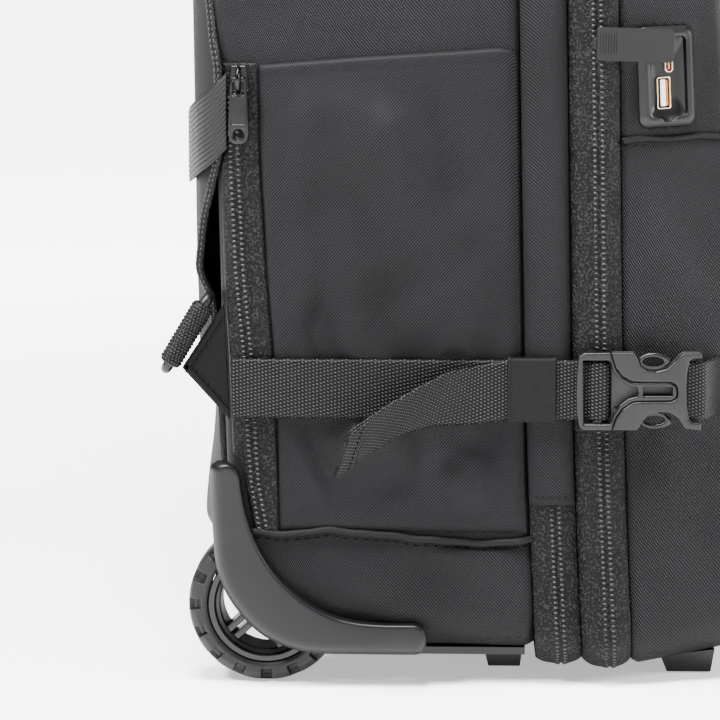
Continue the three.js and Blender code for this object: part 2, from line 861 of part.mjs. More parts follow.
const ellipse = (x, z, reachX, reachZ) => {
  const path = new THREE.Shape();
  path.absellipse(x, z, reachX, reachZ, 0, Math.PI * 2);
  return path;
};

function buckleMale() {
  const half = buckleWidth / 2;
  const frame = roundedRectangle(
    buckleStart, strapHeight - half, femaleStart - seamGap, strapHeight + half, 3);
  frame.holes.push(roundedRectangle(
    buckleStart + buckleFrame, strapHeight - half + buckleFrame, femaleStart - seamGap - railWidth,
    strapHeight + half - buckleFrame, 1));
  const rails = sidePlate(frame, buckleInner, buckleOuter, 2);
  const underEndBar = boxBetween(
    [buckleStart - 1, -(upperLayer + webbingThickness / 2 + seamGap), strapLow - 1],
    [buckleStart + buckleFrame + 1, -(buckleInner - 1), strapHigh + 1],
  );
  const bar = boxBetween(
    [barX - barWidth / 2, -(barLevel + barThickness / 2), strapHeight - half + buckleFrame / 2],
    [barX + barWidth / 2, -(barLevel - barThickness / 2), strapHeight + half - buckleFrame / 2],
  );
  const eyeX = lerp(buckleStart, femaleEnd, 0.7);
  const eyeOut = half * 0.8;
  const prongs = [1, -1].flatMap((side) => {
    const eyelet = ellipse(eyeX, strapHeight + side * eyeOut, buckleLength * 0.135, half * 0.2);
    const arm = roundedRectangle(femaleStart - railWidth, strapHeight + side * half * 0.7 - 1.6,
      eyeX, strapHeight + side * half * 0.7 + 1.6, 0.8);
    return [sidePlate(eyelet, prongInner, prongOuter, 4), sidePlate(arm, prongInner, prongOuter, 1)];
  });
  const tongue = sidePlate(
    roundedRectangle(femaleStart - railWidth, strapHeight - half * 0.2, lerp(buckleStart, femaleEnd, 0.86),
      strapHeight + half * 0.2, 2), prongInner, prongOuter, 2);
  const eyeHoles = [1, -1].map((side) => sidePlate(
    ellipse(eyeX, strapHeight + side * eyeOut, buckleLength * 0.09, half * 0.12),
    prongInner - 1, prongOuter + 1, 3));
  return cut(joined(cut(rails, underEndBar), bar, ...prongs, tongue), ...eyeHoles);
}

function buckleFemale() {
  const half = buckleWidth / 2;
  const shape = new THREE.Shape();
  const windowStart = lerp(femaleStart, femaleEnd, 0.28);
  const windowEnd = lerp(femaleStart, femaleEnd, 0.94);
  const windowMiddle = (windowStart + windowEnd) / 2;
  shape.moveTo(femaleStart, strapHeight - half);
  shape.lineTo(windowStart, strapHeight - half);
  shape.quadraticCurveTo(windowMiddle, strapHeight - half * 0.12, windowEnd, strapHeight - half);
  shape.lineTo(femaleEnd + buckleFrame * 2, strapHeight - half);
  shape.lineTo(femaleEnd + buckleFrame * 2, strapHeight - half + buckleFrame);
  shape.lineTo(femaleEnd, strapHeight - half + buckleFrame);
  shape.lineTo(femaleEnd, strapHeight + half - buckleFrame);
  shape.lineTo(femaleEnd + buckleFrame * 2, strapHeight + half - buckleFrame);
  shape.lineTo(femaleEnd + buckleFrame * 2, strapHeight + half);
  shape.lineTo(windowEnd, strapHeight + half);
  shape.quadraticCurveTo(windowMiddle, strapHeight + half * 0.12, windowStart, strapHeight + half);
  shape.lineTo(femaleStart, strapHeight + half);
  shape.closePath();
  const body = sidePlate(shape, buckleInner, buckleOuter, 5);
  const cavity = boxBetween(
    [femaleStart - 1, -(prongOuter + seamGap), strapHeight - half * 0.9],
    [lerp(buckleStart, femaleEnd, 0.86) + seamGap, -(prongInner - seamGap), strapHeight + half * 0.9],
  );
  return cut(body, cavity);
}

// Front strap: from one female half round the face of the bag to the other
const strapStandOff = webbingThickness / 2 + 1.5;

// Plan of the bag's face at one height, from the middle of the side wall to the middle of the face
function facePlan(z, standOff) {
  const rows = frontRows.slice(2);
  const points = rows.map(({ inset, bulge }) => new THREE.Vector2(
    frontEdge(z) + bulge * frontBulge, sideFace - inset * frontRecess));
  const middle = new THREE.Vector2(points.at(-1).x, 0);
  return [...points, middle].map((p, i, all) => {
    const run = all[Math.min(i + 1, all.length - 1)].clone().sub(all[Math.max(i - 1, 0)]).normalize();
    return new THREE.Vector2(p.x - run.y * standOff, p.y + run.x * standOff);
  });
}

function frontStrap() {
  const start = femaleEnd + 3 * seamGap;
  const low = facePlan(strapLow, strapStandOff);
  const high = facePlan(strapHigh, strapStandOff);
  const anchor = {
    low: new THREE.Vector3(start, -barLevel, strapLow),
    high: new THREE.Vector3(start, -barLevel, strapHigh),
  };
  const side = low.map((p, i) => ({
    low: new THREE.Vector3(p.x, -p.y, strapLow),
    high: new THREE.Vector3(high[i].x, -high[i].y, strapHigh),
  }));
  const left = [anchor, ...side];
  const right = left.slice(0, -1).reverse().map((station) => ({
    low: station.low.clone().setY(-station.low.y),
    high: station.high.clone().setY(-station.high.y),
  }));
  return ribbon([...left, ...right], webbingThickness);
}

addPair('compression_strap', compressionStrap(), webbing);
addPair('strap_keeper', strapKeeper(), webbing);
addPair('buckle_male', buckleMale(), plastic);
addPair('buckle_female', buckleFemale(), plastic);
add('front_strap', frontStrap(), webbing);

// Harness cover: height as a share, and its edge's depth and inset from the bag's side, as the
// photographed side shows them
const coverRows = [
  { share: 0, edgeX: 8.4, inset: 26 },
  { share: 0.11, edgeX: 6.6, inset: 25 },
  { share: 0.145, edgeX: 0.4, inset: 22 },
  { share: 0.21, edgeX: 3.8, inset: 14 },
  { share: 0.26, edgeX: 9, inset: 5 },
  { share: 0.29, edgeX: 11.8, inset: -3.4 },
  { share: 0.38, edgeX: 11.6, inset: -3.4 },
  { share: 0.41, edgeX: 8.4, inset: 3 },
  { share: 0.46, edgeX: 5.5, inset: 11 },
  { share: 0.75, edgeX: 2.6, inset: 14 },
  { share: 0.93, edgeX: 0.6, inset: 20 },
  { share: 1, edgeX: -0.4, inset: 42 },
];
const coverColumns = [1, 0.94, 0.84, 0.7, 0.3];
const wrapStart = 0.68;
const wrapPower = 2.6;
const coverLean = 0.55;
const edgeTaper = 0.5;

const mirrored = (columns) => [...columns, 0, ...columns.map((c) => -c).reverse()];

// A padded sheet across the back whose edges wrap forward
function backSheet(rows, columns, foot, top, backAt, thickness) {
  return loft(rows.map(({ share, edgeX, inset }) => {
    const z = lerp(foot, top, share);
    const back = backAt(share, z);
    const place = (c, wall) => {
      const wrap = Math.max(0, (Math.abs(c) - wrapStart) / (1 - wrapStart)) ** wrapPower;
      const depth = wall * lerp(1, edgeTaper, wrap);
      return new THREE.Vector3(lerp(back, edgeX, wrap) + depth, c * (sideFace - inset - wrap * depth), z);
    };
    const across = mirrored(columns);
    return [
      ...across.map((c) => place(c, 0)),
      ...across.map((c) => place(c, thickness)).reverse(),
    ];
  }));
}

const coverBackAt = (z) => coverBack + coverLean * lean(z);
const coverSheet = () => backSheet(
  coverRows, coverColumns, coverFoot, coverTop, (share, z) => coverBackAt(z), coverThickness);

// Lower back pad: it runs out from the body towards its foot
const padFoot = 56;
const padTop = 121;
const padThickness = 4;
const padRows = [
  { share: 0, edgeX: 12, inset: 36 },
  { share: 0.12, edgeX: 10.6, inset: 28 },
  { share: 0.24, edgeX: 10.6, inset: 21 },
  { share: 0.45, edgeX: 12.7, inset: 14 },
  { share: 0.75, edgeX: 11.9, inset: 12 },
  { share: 1, edgeX: 11.3, inset: 12 },
];
const padColumns = [1, 0.93, 0.82, 0.7];
const padBulge = [
  { share: 0, back: 5 },
  { share: 0.12, back: 0.2 },
  { share: 0.24, back: 0.9 },
  { share: 0.45, back: 2.4 },
  { share: 0.75, back: 5 },
  { share: 1, back: 6.4 },
];
const padBackAt = (share) => padBulge.find((row) => row.share === share).back;
const padSheet = () => backSheet(padRows, padColumns, padFoot, padTop, padBackAt, padThickness);

// Elastic band: from the seam beside each side zip round the back of the cover
const elasticPath = [
  { x: 16, inset: -4.6, rise: 1 },
  { x: 11, inset: -4.4, rise: 0.66 },
  { x: 4, inset: 2.5, rise: 0.36 },
  { x: -1.4, inset: 19, rise: 0.1 },
  { x: -3.6, inset: 44, rise: 0 },
];

function elasticBand() {
  const side = (sign) => elasticPath.map(({ x, inset, rise }) => {
    const y = sideFace - inset;
    const z = elasticHeight + rise * elasticRise;
    return {
      low: new THREE.Vector3(x, sign * y, z - elasticWidth / 2),
      high: new THREE.Vector3(x, sign * y, z + elasticWidth / 2),
    };
  });
  return ribbon([...side(-1), ...side(1).reverse()], elasticThickness);
}

// Shoulder straps lying flat behind the cover: heights and half-widths as shares
const strapPadTop = 470;
const strapPadFoot = 190;
const strapPadWidth = 58;
const strapPadSpread = 68;
const strapPadRows = [
  { share: 0, width: 0.5, out: 1.25 },
  { share: 0.15, width: 0.95, out: 1.2 },
  { share: 0.6, width: 1, out: 1.05 },
  { share: 0.9, width: 0.95, out: 0.85 },
  { share: 1, width: 0.8, out: 0.8 },
];

function shoulderStrap() {
  return loft(strapPadRows.map(({ share, width, out }) => {
    const z = lerp(strapPadFoot, strapPadTop, share);
    const near = coverBackAt(z) + coverThickness + 2 * seamGap;
    const far = backFace + lean(z) - 2 * seamGap;
    const half = (strapPadWidth / 2) * width;
    const y = -strapPadSpread * out;
    const at = (x, side) => new THREE.Vector3(x, y + side * half, z);
    return [at(near, -0.85), at(near, 0.85), at(far - 1, 1), at(far, 0.9), at(far, -0.9), at(far - 1, -1)];
  }));
}

// Side tab, the webbing loop along its hem and the plastic ring that the loop holds
const tabLevel = sideFace + seamGap;
const tabCorners = { foot: [16.4, 115.9], tip: [-4, 138.4], head: [14.2, 166.1] };
const loopLow = new THREE.Vector3(-9.6, -tabLevel, 140.1);
const loopHigh = new THREE.Vector3(5.7, -tabLevel, 165.6);

function sideTab() {
  const shape = new THREE.Shape();
  shape.moveTo(...tabCorners.foot);
  shape.lineTo(...tabCorners.head);
  shape.lineTo(...tabCorners.tip);
  shape.closePath();
  return sidePlate(shape, tabLevel - tabThickness / 2, tabLevel + tabThickness / 2);
}

const loopAxis = loopHigh.clone().sub(loopLow).normalize();
const loopMiddle = loopHigh.clone().add(loopLow).multiplyScalar(0.5);
const loopLength = loopHigh.distanceTo(loopLow);

// Frame whose X runs along the loop and whose Y runs towards the middle of the bag
function loopFrame() {
  const inwards = new THREE.Vector3(0, 1, 0);
  const across = new THREE.Vector3().crossVectors(loopAxis, inwards);
  const frame = new THREE.Matrix4().makeBasis(loopAxis, inwards, across);
  return frame.setPosition(loopMiddle);
}

function tabLoop() {
  const sides = 12;
  const inner = ringWire + seamGap;
  const profile = [
    new THREE.Vector2(inner, -loopLength / 2),
    new THREE.Vector2(loopRadius, -loopLength / 2),
    new THREE.Vector2(loopRadius, loopLength / 2),
    new THREE.Vector2(inner, loopLength / 2),
    new THREE.Vector2(inner, -loopLength / 2),
  ];
  return welded(new THREE.LatheGeometry(profile, sides).rotateZ(Math.PI / 2)).applyMatrix4(loopFrame());
}

function tabRing() {
  const halfLength = loopLength / 2 + ringWire + seamGap;
  const corner = ringWire * 1.3;
  const sides = 6;
  const track = tracePoints(roundedRectangle(-halfLength, 0, halfLength, ringReach, corner), 2);
  const rings = track.map((p, i) => {
    const before = track[(i + track.length - 1) % track.length];
    const after = track[(i + 1) % track.length];
    const run = after.clone().sub(before).normalize();
    return Array.from({ length: sides }, (_, k) => {
      const angle = (Math.PI * 2 * k) / sides;
      const out = Math.cos(angle) * ringWire;
      return new THREE.Vector3(p.x + run.y * out, p.y - run.x * out, Math.sin(angle) * ringWire);
    });
  });
  return loft(rings, true).applyMatrix4(loopFrame());
}

add('harness_cover', coverSheet(), cloth);
add('lower_back_pad', padSheet(), cloth);
add('elastic_band', elasticBand(), webbing);
addPair('shoulder_strap', shoulderStrap(), cloth);
addPair('side_tab', sideTab(), cloth);
addPair('tab_loop', tabLoop(), webbing);
addPair('tab_ring', tabRing(), plastic);

// Wheels
function cornerGuard() {
  const outline = guardOutline();
  const shell = loft([
    atSide(outline, guardInner),
    atSide(outline, guardOuter - guardBevel),
    atSide(insetOutline(outline, guardBevel * 0.35), guardOuter - guardBevel * 0.35),
    atSide(insetOutline(outline, guardBevel), guardOuter),
  ]);
  const boreRadius = axleRadius + seamGap;
  const bore = crossPin(wheelX, wheelRadius, boreRadius, -(guardInner + 3), -(guardInner - 1), 12);
  return cut(shell, bore);
}

const axle = () => crossPin(
  wheelX, wheelRadius, axleRadius, -(guardInner + 2.7), -(housingInner + seamGap), 12);

// Tyre: tread blocks alternate with shoulder notches that are cut by drawing the profile in
function tyre() {
  const half = tyreWidth / 2;
  const inner = rimRadius + seamGap / 2;
  const shoulder = wheelRadius - treadDepth;
  const profile = (notched) => {
    const edge = notched ? wheelRadius - treadReach * 0.62 : shoulder + 0.6;
    const crown = notched ? half - treadReach : half - treadDepth;
    return [
      [inner, -half + 1],
      [edge, -half],
      [wheelRadius, -crown],
      [wheelRadius, crown],
      [edge, half],
      [inner, half - 1],
    ];
  };
  const step = (Math.PI * 2) / treadBlocks;
  const places = [
    { share: -0.25, notched: false },
    { share: -0.18, notched: true },
    { share: 0.18, notched: true },
    { share: 0.25, notched: false },
  ];
  const rings = Array.from({ length: treadBlocks }, (_, block) => places.map(({ share, notched }) => {
    const angle = -Math.PI / 2 + (block + share) * step;
    return profile(notched).map(([radius, across]) => new THREE.Vector3(
      wheelX + radius * Math.cos(angle), across - wheelY, wheelRadius + radius * Math.sin(angle)));
  })).flat();
  return loft(rings, true);
}

const spokePairs = 5;
const spokeTurn = 6;

function rim() {
  const half = tyreWidth / 2 - 1;
  const ledge = rimRadius - seamGap / 2;
  const barrel = [
    [rimOpening, -half],
    [ledge, -half],
    [ledge, half],
    [rimOpening, half],
    [rimOpening, -half],
  ].map(([r, y]) => new THREE.Vector2(r, y));
  const upright = new THREE.Vector3(wheelX, -wheelY, wheelRadius);
  const turned = (profile, sides) => welded(new THREE.LatheGeometry(profile, sides))
    .translate(upright.x, upright.y, upright.z);
  const bore = axleRadius + runningGap;
  const hub = [[bore, -half], [hubRadius, -half], [hubRadius, half], [bore, half], [bore, -half]]
    .map(([r, y]) => new THREE.Vector2(r, y));
  const spokes = Array.from({ length: spokePairs * 2 }, (_, i) => {
    const angle = radians(spokeTurn + Math.floor(i / 2) * (360 / spokePairs));
    const offset = (i % 2 ? 0.5 : -0.5) * (spokeSpread - spokeWidth / 2);
    return new THREE.BoxGeometry(rimOpening - hubRadius + 4, tyreWidth * 0.5, spokeWidth)
      .translate((rimOpening + hubRadius) / 2 - 0.5, 0, offset)
      .rotateY(-angle)
      .translate(upright.x, upright.y, upright.z);
  });
  return joined(turned(barrel, 26), turned(hub, 12), ...spokes);
}

addPair('corner_guard', cornerGuard(), plastic);
addPair('wheel_housing', wheelHousing(), darkPlastic);
addPair('axle', axle(), metal);
addPair('rim', rim(), darkPlastic);
addPair('tyre', tyre(), rubber);

// Base plate and feet
const basePlateTop = baseHeight - seamGap;
const basePlateFoot = 10.5;
const frontFootStart = 203.8;
const frontFootEnd = 227.6;
const footInner = 111;
const footOuter = 137;
const frontFloorAt = (x) => {
  const seam = frontSeam + lean(frontBase);
  return frontBase + frontBase * ((x - seam) / (frontEdge(0) - seam));
};

function footBlock(startX, endX, foot, topAt, taper) {
  const ring = (shrink, heightAt) => [
    [startX + shrink, -footOuter + shrink / 2],
    [endX - shrink / 2, -footOuter + shrink / 2],
    [endX - shrink / 2, -footInner - shrink],
    [startX + shrink, -footInner - shrink],
  ].map(([x, y]) => new THREE.Vector3(x, y, heightAt(x)));
  return loft([ring(taper, () => foot), ring(0, topAt)]);
}

const baseRear = 70;
const baseHalf = 150;
const basePlate = boxBetween(
  [baseRear, -baseHalf, basePlateFoot], [expansionSeam + 2, baseHalf, basePlateTop]);
add('base_plate', basePlate, darkPlastic);
addPair('middle_foot', footBlock(126, 143, 2, () => basePlateFoot - seamGap, 2), darkPlastic);
const frontFootBlock = footBlock(frontFootStart, frontFootEnd, 0, (x) => frontFloorAt(x) - seamGap, 3);
addPair('front_foot', frontFootBlock, darkPlastic);

// Charging port
function portBezel() {
  const flange = plate(centredRectangle(bezelWidth, bezelHeight, 4), 0, bezelRise);
  const bodyWidth = recessWidth + 2 * housingWall;
  const bodyHeight = recessHeight + 2 * housingWall;
  const body = plate(centredRectangle(bodyWidth, bodyHeight, 2), -portDepth, bezelRise / 2, 1);
  const opening = centredRectangle(recessWidth, recessHeight, 1.5);
  const recess = plate(opening, bezelRise - recessDepth, bezelRise + 1, 2);
  return cut(joined(flange, body), recess);
}

const socketFloor = bezelRise - recessDepth + seamGap;
const usbSockets = {
  typeA: { width: 6.4, height: 13.6, x: -1.6, z: -6.8, rise: 1.4 },
  typeC: { width: 3.8, height: 9, x: 1.2, z: 6.2, rise: 1.4 },
};

function usbSocket({ width, height, x, z, rise }) {
  const shell = plate(centredRectangle(width, height, 1.2, x, z), socketFloor, socketFloor + rise, 1);
  const rim = centredRectangle(width - 1.2, height - 1.2, 0.8, x, z);
  const mouth = plate(rim, socketFloor + 0.4, socketFloor + rise + 1, 1);
  const tongue = boxBetween(
    [x - width * 0.16, z - height * 0.4, socketFloor + 0.2],
    [x + width * 0.16, z + height * 0.4, socketFloor + rise * 0.8],
  );
  return joined(cut(shell, mouth), tongue);
}

function portCover() {
  const low = bezelRise + seamGap;
  const flap = plate(
    roundedRectangle(-coverLength + 2.6, -coverWidth / 2, 2.6, coverWidth / 2, 2), low, low + coverPlate);
  const tip = roundedRectangle(-coverLength + 1.2, -3, -coverLength + 4, 3, 1);
  const tab = plate(tip, low, low + coverPlate * 0.6);
  const peg = plate(ellipse(0, 0, pegRadius, pegRadius), socketFloor, low + coverPlate / 2, 3);
  return joined(flap, tab, peg);
}

const coverPlace = new THREE.Matrix4().makeTranslation(coverPivotX, coverPivotHeight, 0)
  .multiply(new THREE.Matrix4().makeRotationZ(radians(90 - coverTurn)));

add('port_bezel', portBezel().applyMatrix4(portPlace), darkPlastic);
add('usb_a_socket', usbSocket(usbSockets.typeA).applyMatrix4(portPlace), metal);
add('usb_c_socket', usbSocket(usbSockets.typeC).applyMatrix4(portPlace), metal);
add('port_cover', portCover().applyMatrix4(coverPlace).applyMatrix4(portPlace), rubber);

// Pull handle, stowed: fixed guides inside the back wall, sliding tubes and a grip over the top
function tube(width, depth, foot, top) {
  const outer = centredRectangle(depth, width, 3);
  outer.holes.push(centredRectangle(depth - 2 * tubeWall, width - 2 * tubeWall, 2));
  return plate(outer, foot, top, 1).translate(handleX, -handleSpread, 0);
}

const innerWidth = guideWidth - 2 * (tubeWall + runningGap);
const innerDepth = guideDepth - 2 * (tubeWall + runningGap);
const bezelFoot = bagTop + seamGap;
const gripFoot = bezelFoot + bezelThickness + seamGap;

function handleBezel() {
  const half = handleSpread + guideWidth;
  const outline = centredRectangle(guideDepth + 12, 2 * half, 6);
  const body = plate(outline, bezelFoot, bezelFoot + bezelThickness, 2);
  const hole = (side) => plate(
    centredRectangle(innerDepth + 2 * runningGap, innerWidth + 2 * runningGap, 3, 0, side * handleSpread),
    bezelFoot - 1, bezelFoot + bezelThickness + 1, 1);
  return cut(body, hole(1), hole(-1)).translate(handleX, 0, 0);
}

function handleGrip() {
  const half = handleSpread + guideWidth / 2;
  const rings = [
    { rise: 0, depth: 0.8, reach: 0.98 },
    { rise: 0.25, depth: 1, reach: 1 },
    { rise: 0.75, depth: 1, reach: 1 },
    { rise: 1, depth: 0.7, reach: 0.95 },
  ].map(({ rise, depth, reach }) => tracePoints(
    centredRectangle(guideDepth * 1.5 * depth, 2 * half * reach, 6), 2)
    .map((p) => new THREE.Vector3(p.x, p.y, gripFoot + rise * gripHeight)));
  return loft(rings).translate(handleX, 0, 0);
}

addPair('handle_guide', tube(guideWidth, guideDepth, guideFoot, bagTop - seamGap), aluminium);
addPair('handle_tube', tube(innerWidth, innerDepth, guideFoot + 10, gripFoot - seamGap), aluminium);
add('handle_bezel', handleBezel(), darkPlastic);
add('handle_grip', handleGrip(), plastic);

// Grab handle on the top of the main compartment
const grabRows = [
  { y: 1, rise: 0 },
  { y: 0.86, rise: 0.1 },
  { y: 0.68, rise: 0.75 },
  { y: 0.45, rise: 1 },
];
const grabX = 92;
const grabHalf = 84;
const grabRise = 24;
const grabWidth = 30;
const grabThickness = 4;

function grabHandle() {
  const side = (sign) => grabRows.map(({ y, rise }) => [sign * y * grabHalf, rise * grabRise]);
  const base = bagTop + seamGap + grabThickness / 2;
  return ribbon([...side(-1), ...side(1).reverse()].map(([y, rise]) => ({
    low: new THREE.Vector3(grabX - grabWidth / 2, y, base + rise),
    high: new THREE.Vector3(grabX + grabWidth / 2, y, base + rise),
  })), grabThickness);
}

add('grab_handle', grabHandle(), webbing);

// Centre the bag on its origin, which stays on the floor
const extent = new THREE.Box3().setFromObject(group);
group.position.x = -(extent.min.x + extent.max.x) / 2;

export default group;
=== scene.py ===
import bmesh
import bpy
import numpy as np
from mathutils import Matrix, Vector


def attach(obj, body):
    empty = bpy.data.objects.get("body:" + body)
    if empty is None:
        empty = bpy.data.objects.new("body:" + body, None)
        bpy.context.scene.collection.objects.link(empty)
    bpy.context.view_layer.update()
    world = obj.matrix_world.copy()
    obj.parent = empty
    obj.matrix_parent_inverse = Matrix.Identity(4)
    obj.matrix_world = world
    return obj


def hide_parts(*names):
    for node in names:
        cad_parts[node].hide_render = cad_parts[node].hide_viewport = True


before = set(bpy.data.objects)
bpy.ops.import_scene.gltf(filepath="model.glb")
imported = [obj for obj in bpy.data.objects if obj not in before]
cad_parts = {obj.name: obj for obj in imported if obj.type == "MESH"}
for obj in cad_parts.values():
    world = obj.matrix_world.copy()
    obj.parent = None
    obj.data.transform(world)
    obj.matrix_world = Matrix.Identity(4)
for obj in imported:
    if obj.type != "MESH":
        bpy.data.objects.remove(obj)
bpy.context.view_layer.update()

# Camera, floor and light
# A long lens a little above the wheel, on a plain white table under wide soft lamps. Sizes here and
# below are millimetres, with depth counted from the back of the harness cover.
DEPTH_MIDDLE = 116.973


def row(points):
    """Millimetres, with depth counted from the cover's back, as metres in the frame."""
    return (np.asarray(points, float) - (DEPTH_MIDDLE, 0, 0)) / 1000


def linear(code):
    """An sRGB colour written RRGGBB, as linear red, green, blue and full alpha."""
    value = np.array([int(code[i:i + 2], 16) for i in (0, 2, 4)]) / 255
    curve = np.where(value <= 0.04045, value / 12.92, ((value + 0.055) / 1.055) ** 2.4)
    return (*curve.tolist(), 1.0)


def add_node(tree, kind, inputs, output=0, **settings):
    """Adds a node with its settings, links or fills its inputs, and gives one of its outputs."""
    node = tree.nodes.new(kind)
    for name, value in settings.items():
        setattr(node, name, value)
    for key, value in inputs.items():
        if isinstance(value, bpy.types.NodeSocket):
            tree.links.new(value, node.inputs[key])
        else:
            node.inputs[key].default_value = value
    return node.outputs[output]


def new_material(name):
    """An empty material with its Principled shader."""
    material = bpy.data.materials.new(name)
    material.use_nodes = True
    return material, material.node_tree, material.node_tree.nodes["Principled BSDF"]


look_at = row((72.3355, -168, 142.394))
stand_at = row((113.857, -1357.009, 299.025))
camera = bpy.data.objects.new("camera", bpy.data.cameras.new("camera"))
camera.data.sensor_width = 36
camera.data.lens = 141
camera.location = stand_at
camera.rotation_mode = "QUATERNION"
camera.rotation_quaternion = Vector(look_at - stand_at).to_track_quat("-Z", "Y")
bpy.context.scene.collection.objects.link(camera)
bpy.context.scene.camera = camera

table_paint, tree, shader = new_material("white matt table")
shader.inputs["Base Color"].default_value = linear("FBFBFB")
shader.inputs["Roughness"].default_value = 0.7
shader.inputs["Emission Color"].default_value = linear("FFFFFF")
# The table glows as painted light: dimmest near the bag, which leaves a painted soft shadow under
# it, and brighter away from it, as a lit sweep looks, so the picture's edges go white
spot = add_node(tree, "ShaderNodeTexCoord", {}, output="Object")
away = add_node(tree, "ShaderNodeVectorMath", {0: spot}, output="Value", operation="LENGTH")
painted_table_glow = add_node(tree, "ShaderNodeMapRange", {"Value": away, "From Min": 0.35, "From Max": 1.6,
                                             "To Min": 0.6, "To Max": 6.0})
tree.links.new(painted_table_glow, shader.inputs["Emission Strength"])
half_table = 150  # metres, so that its edge is past the horizon
table_mesh = bpy.data.meshes.new("table_top")
table_mesh.from_pydata(
    [(x * half_table, y * half_table, -0.0005) for x, y in ((-1, -1), (1, -1), (1, 1), (-1, 1))],
    [], [(0, 1, 2, 3)])
table_mesh.materials.append(table_paint)
table_top = bpy.data.objects.new("table_top", table_mesh)
bpy.context.scene.collection.objects.link(table_top)

world = bpy.data.worlds.new("white studio")
world.use_nodes = True
world.node_tree.nodes["Background"].inputs["Color"].default_value = (1, 1, 1, 1)
world.node_tree.nodes["Background"].inputs["Strength"].default_value = 0.3
bpy.context.scene.world = world
lamps = {  # place and width in metres, and power in watts
    "lamp_left": ((-1.0, -0.8, 1.5), 0.4, 90),
    "lamp_right": ((1.7, -0.3, 0.8), 0.5, 45),
    "lamp_over": ((-0.2, -0.55, 2.0), 0.6, 190),
}
for name, (place, size, watts) in lamps.items():
    lamp = bpy.data.lights.new(name, "AREA")
    lamp.size = size
    lamp.energy = watts
    holder = bpy.data.objects.new(name, lamp)
    holder.location = place
    holder.rotation_mode = "QUATERNION"
    holder.rotation_quaternion = (Vector((0, 0, 0.2)) - Vector(place)).to_track_quat("-Z", "Y")
    bpy.context.scene.collection.objects.link(holder)

# Main compartment
# The deep rear part of the bag: coated polyester canvas over foam, sewn as one tube from the back
# panel to the expansion seam, with its lower rear corners cut away for the wheels.
BAG_TOP, SIDE, BASE = 515, 164, 14
BACK, BACK_ROUND = 12.5, 8
TOP_RADIUS, FOOT_RADIUS, REAR_RADIUS = 52, 20, 65
EXPANSION_SEAM, ZIP_SEAM, FRONT_SEAM = 141.8, 162, 183.7
AROUND = 720  # points in each loop round the bag


def lean(z):
    """The seams' set back: a straight slope about mid height, and a bow towards the foot."""
    return 0.022 * (163 - z) + 0.00013 * np.maximum(0, 163 - z) ** 2


def loop(half, top, foot, crown, base, count=AROUND):
    """Evenly spaced points round an upright rectangle with wide top and small foot corners.

    Each row holds a point's place across and up, and the direction out of the loop there."""
    arcs = ((half - crown, top - crown, crown, 0), (crown - half, top - crown, crown, 90),
            (base - half, foot + base, base, 180), (half - base, foot + base, base, 270))
    turn = np.linspace(0, 90, 33)
    traced = []
    for y, z, radius, start in arcs:
        angle = np.radians(start + turn)
        out = np.stack([np.cos(angle), np.sin(angle)], -1)
        traced.append(np.hstack([np.array([y, z]) + radius * out, out]))
    traced = np.vstack([*traced, traced[0][:1]])
    gone = np.concatenate([[0], np.cumsum(np.linalg.norm(np.diff(traced[:, :2], axis=0), axis=1))])
    at = np.linspace(0, gone[-1], count, endpoint=False)
    return np.stack([np.interp(at, gone, column) for column in traced.T], -1)


def ripples(across, up, seed, length, height, count=9):
    """Soft folds: a sum of sine waves of about one length, in seeded directions and phases."""
    rng = np.random.default_rng(seed)
    angle = rng.uniform(0, np.pi, count)
    number = 2 * np.pi / (length * rng.uniform(0.7, 1.8, count))
    phase = rng.uniform(0, 2 * np.pi, count)
    share = rng.uniform(0.4, 1, count)
    total = sum(s * np.sin(k * (across * np.cos(a) + up * np.sin(a)) + p)
                for a, k, p, s in zip(angle, number, phase, share))
    return height * total / np.sqrt((share ** 2).sum() / 2) / 1.6


def ease(value, low, high):
    """0 up to low, 1 from high on, and in between a cubic step that starts and ends level."""
    t = np.clip((value - low) / (high - low), 0, 1)
    return t * t * (3 - 2 * t)


def bell(value, middle, width):
    """A smooth bump of height 1: a Gaussian curve."""
    return np.exp(-((value - middle) / width) ** 2)


def make_piece(name, corners, faces, maps, material):
    """Puts corners in metres, faces and their map into a smooth mesh that faces outwards.

    The sum of each face's normal times its way out from the bag's inside tells how they face."""
    inside = np.array([-0.04, 0, 0.25])
    flux = 0
    for group in faces:
        first = corners[group[:, 0]]
        for i in range(1, group.shape[1] - 1):
            normal = np.cross(corners[group[:, i]] - first, corners[group[:, i + 1]] - first)
            flux += ((first - inside) * normal).sum()
    if flux < 0:
        faces = [group[:, ::-1] for group in faces]
        maps = [group[:, ::-1] for group in maps]
    mesh = bpy.data.meshes.new(name)
    mesh.from_pydata(corners.tolist(), [], [face for group in faces for face in group.tolist()])
    layer = mesh.uv_layers.new(name="map")
    layer.data.foreach_set("uv", np.concatenate([group.reshape(-1, 2) for group in maps]).ravel())
    mesh.polygons.foreach_set("use_smooth", np.ones(len(mesh.polygons), bool))
    mesh.materials.append(material)
    mesh.update()
    piece = bpy.data.objects.new(name, mesh)
    bpy.context.scene.collection.objects.link(piece)
    return piece


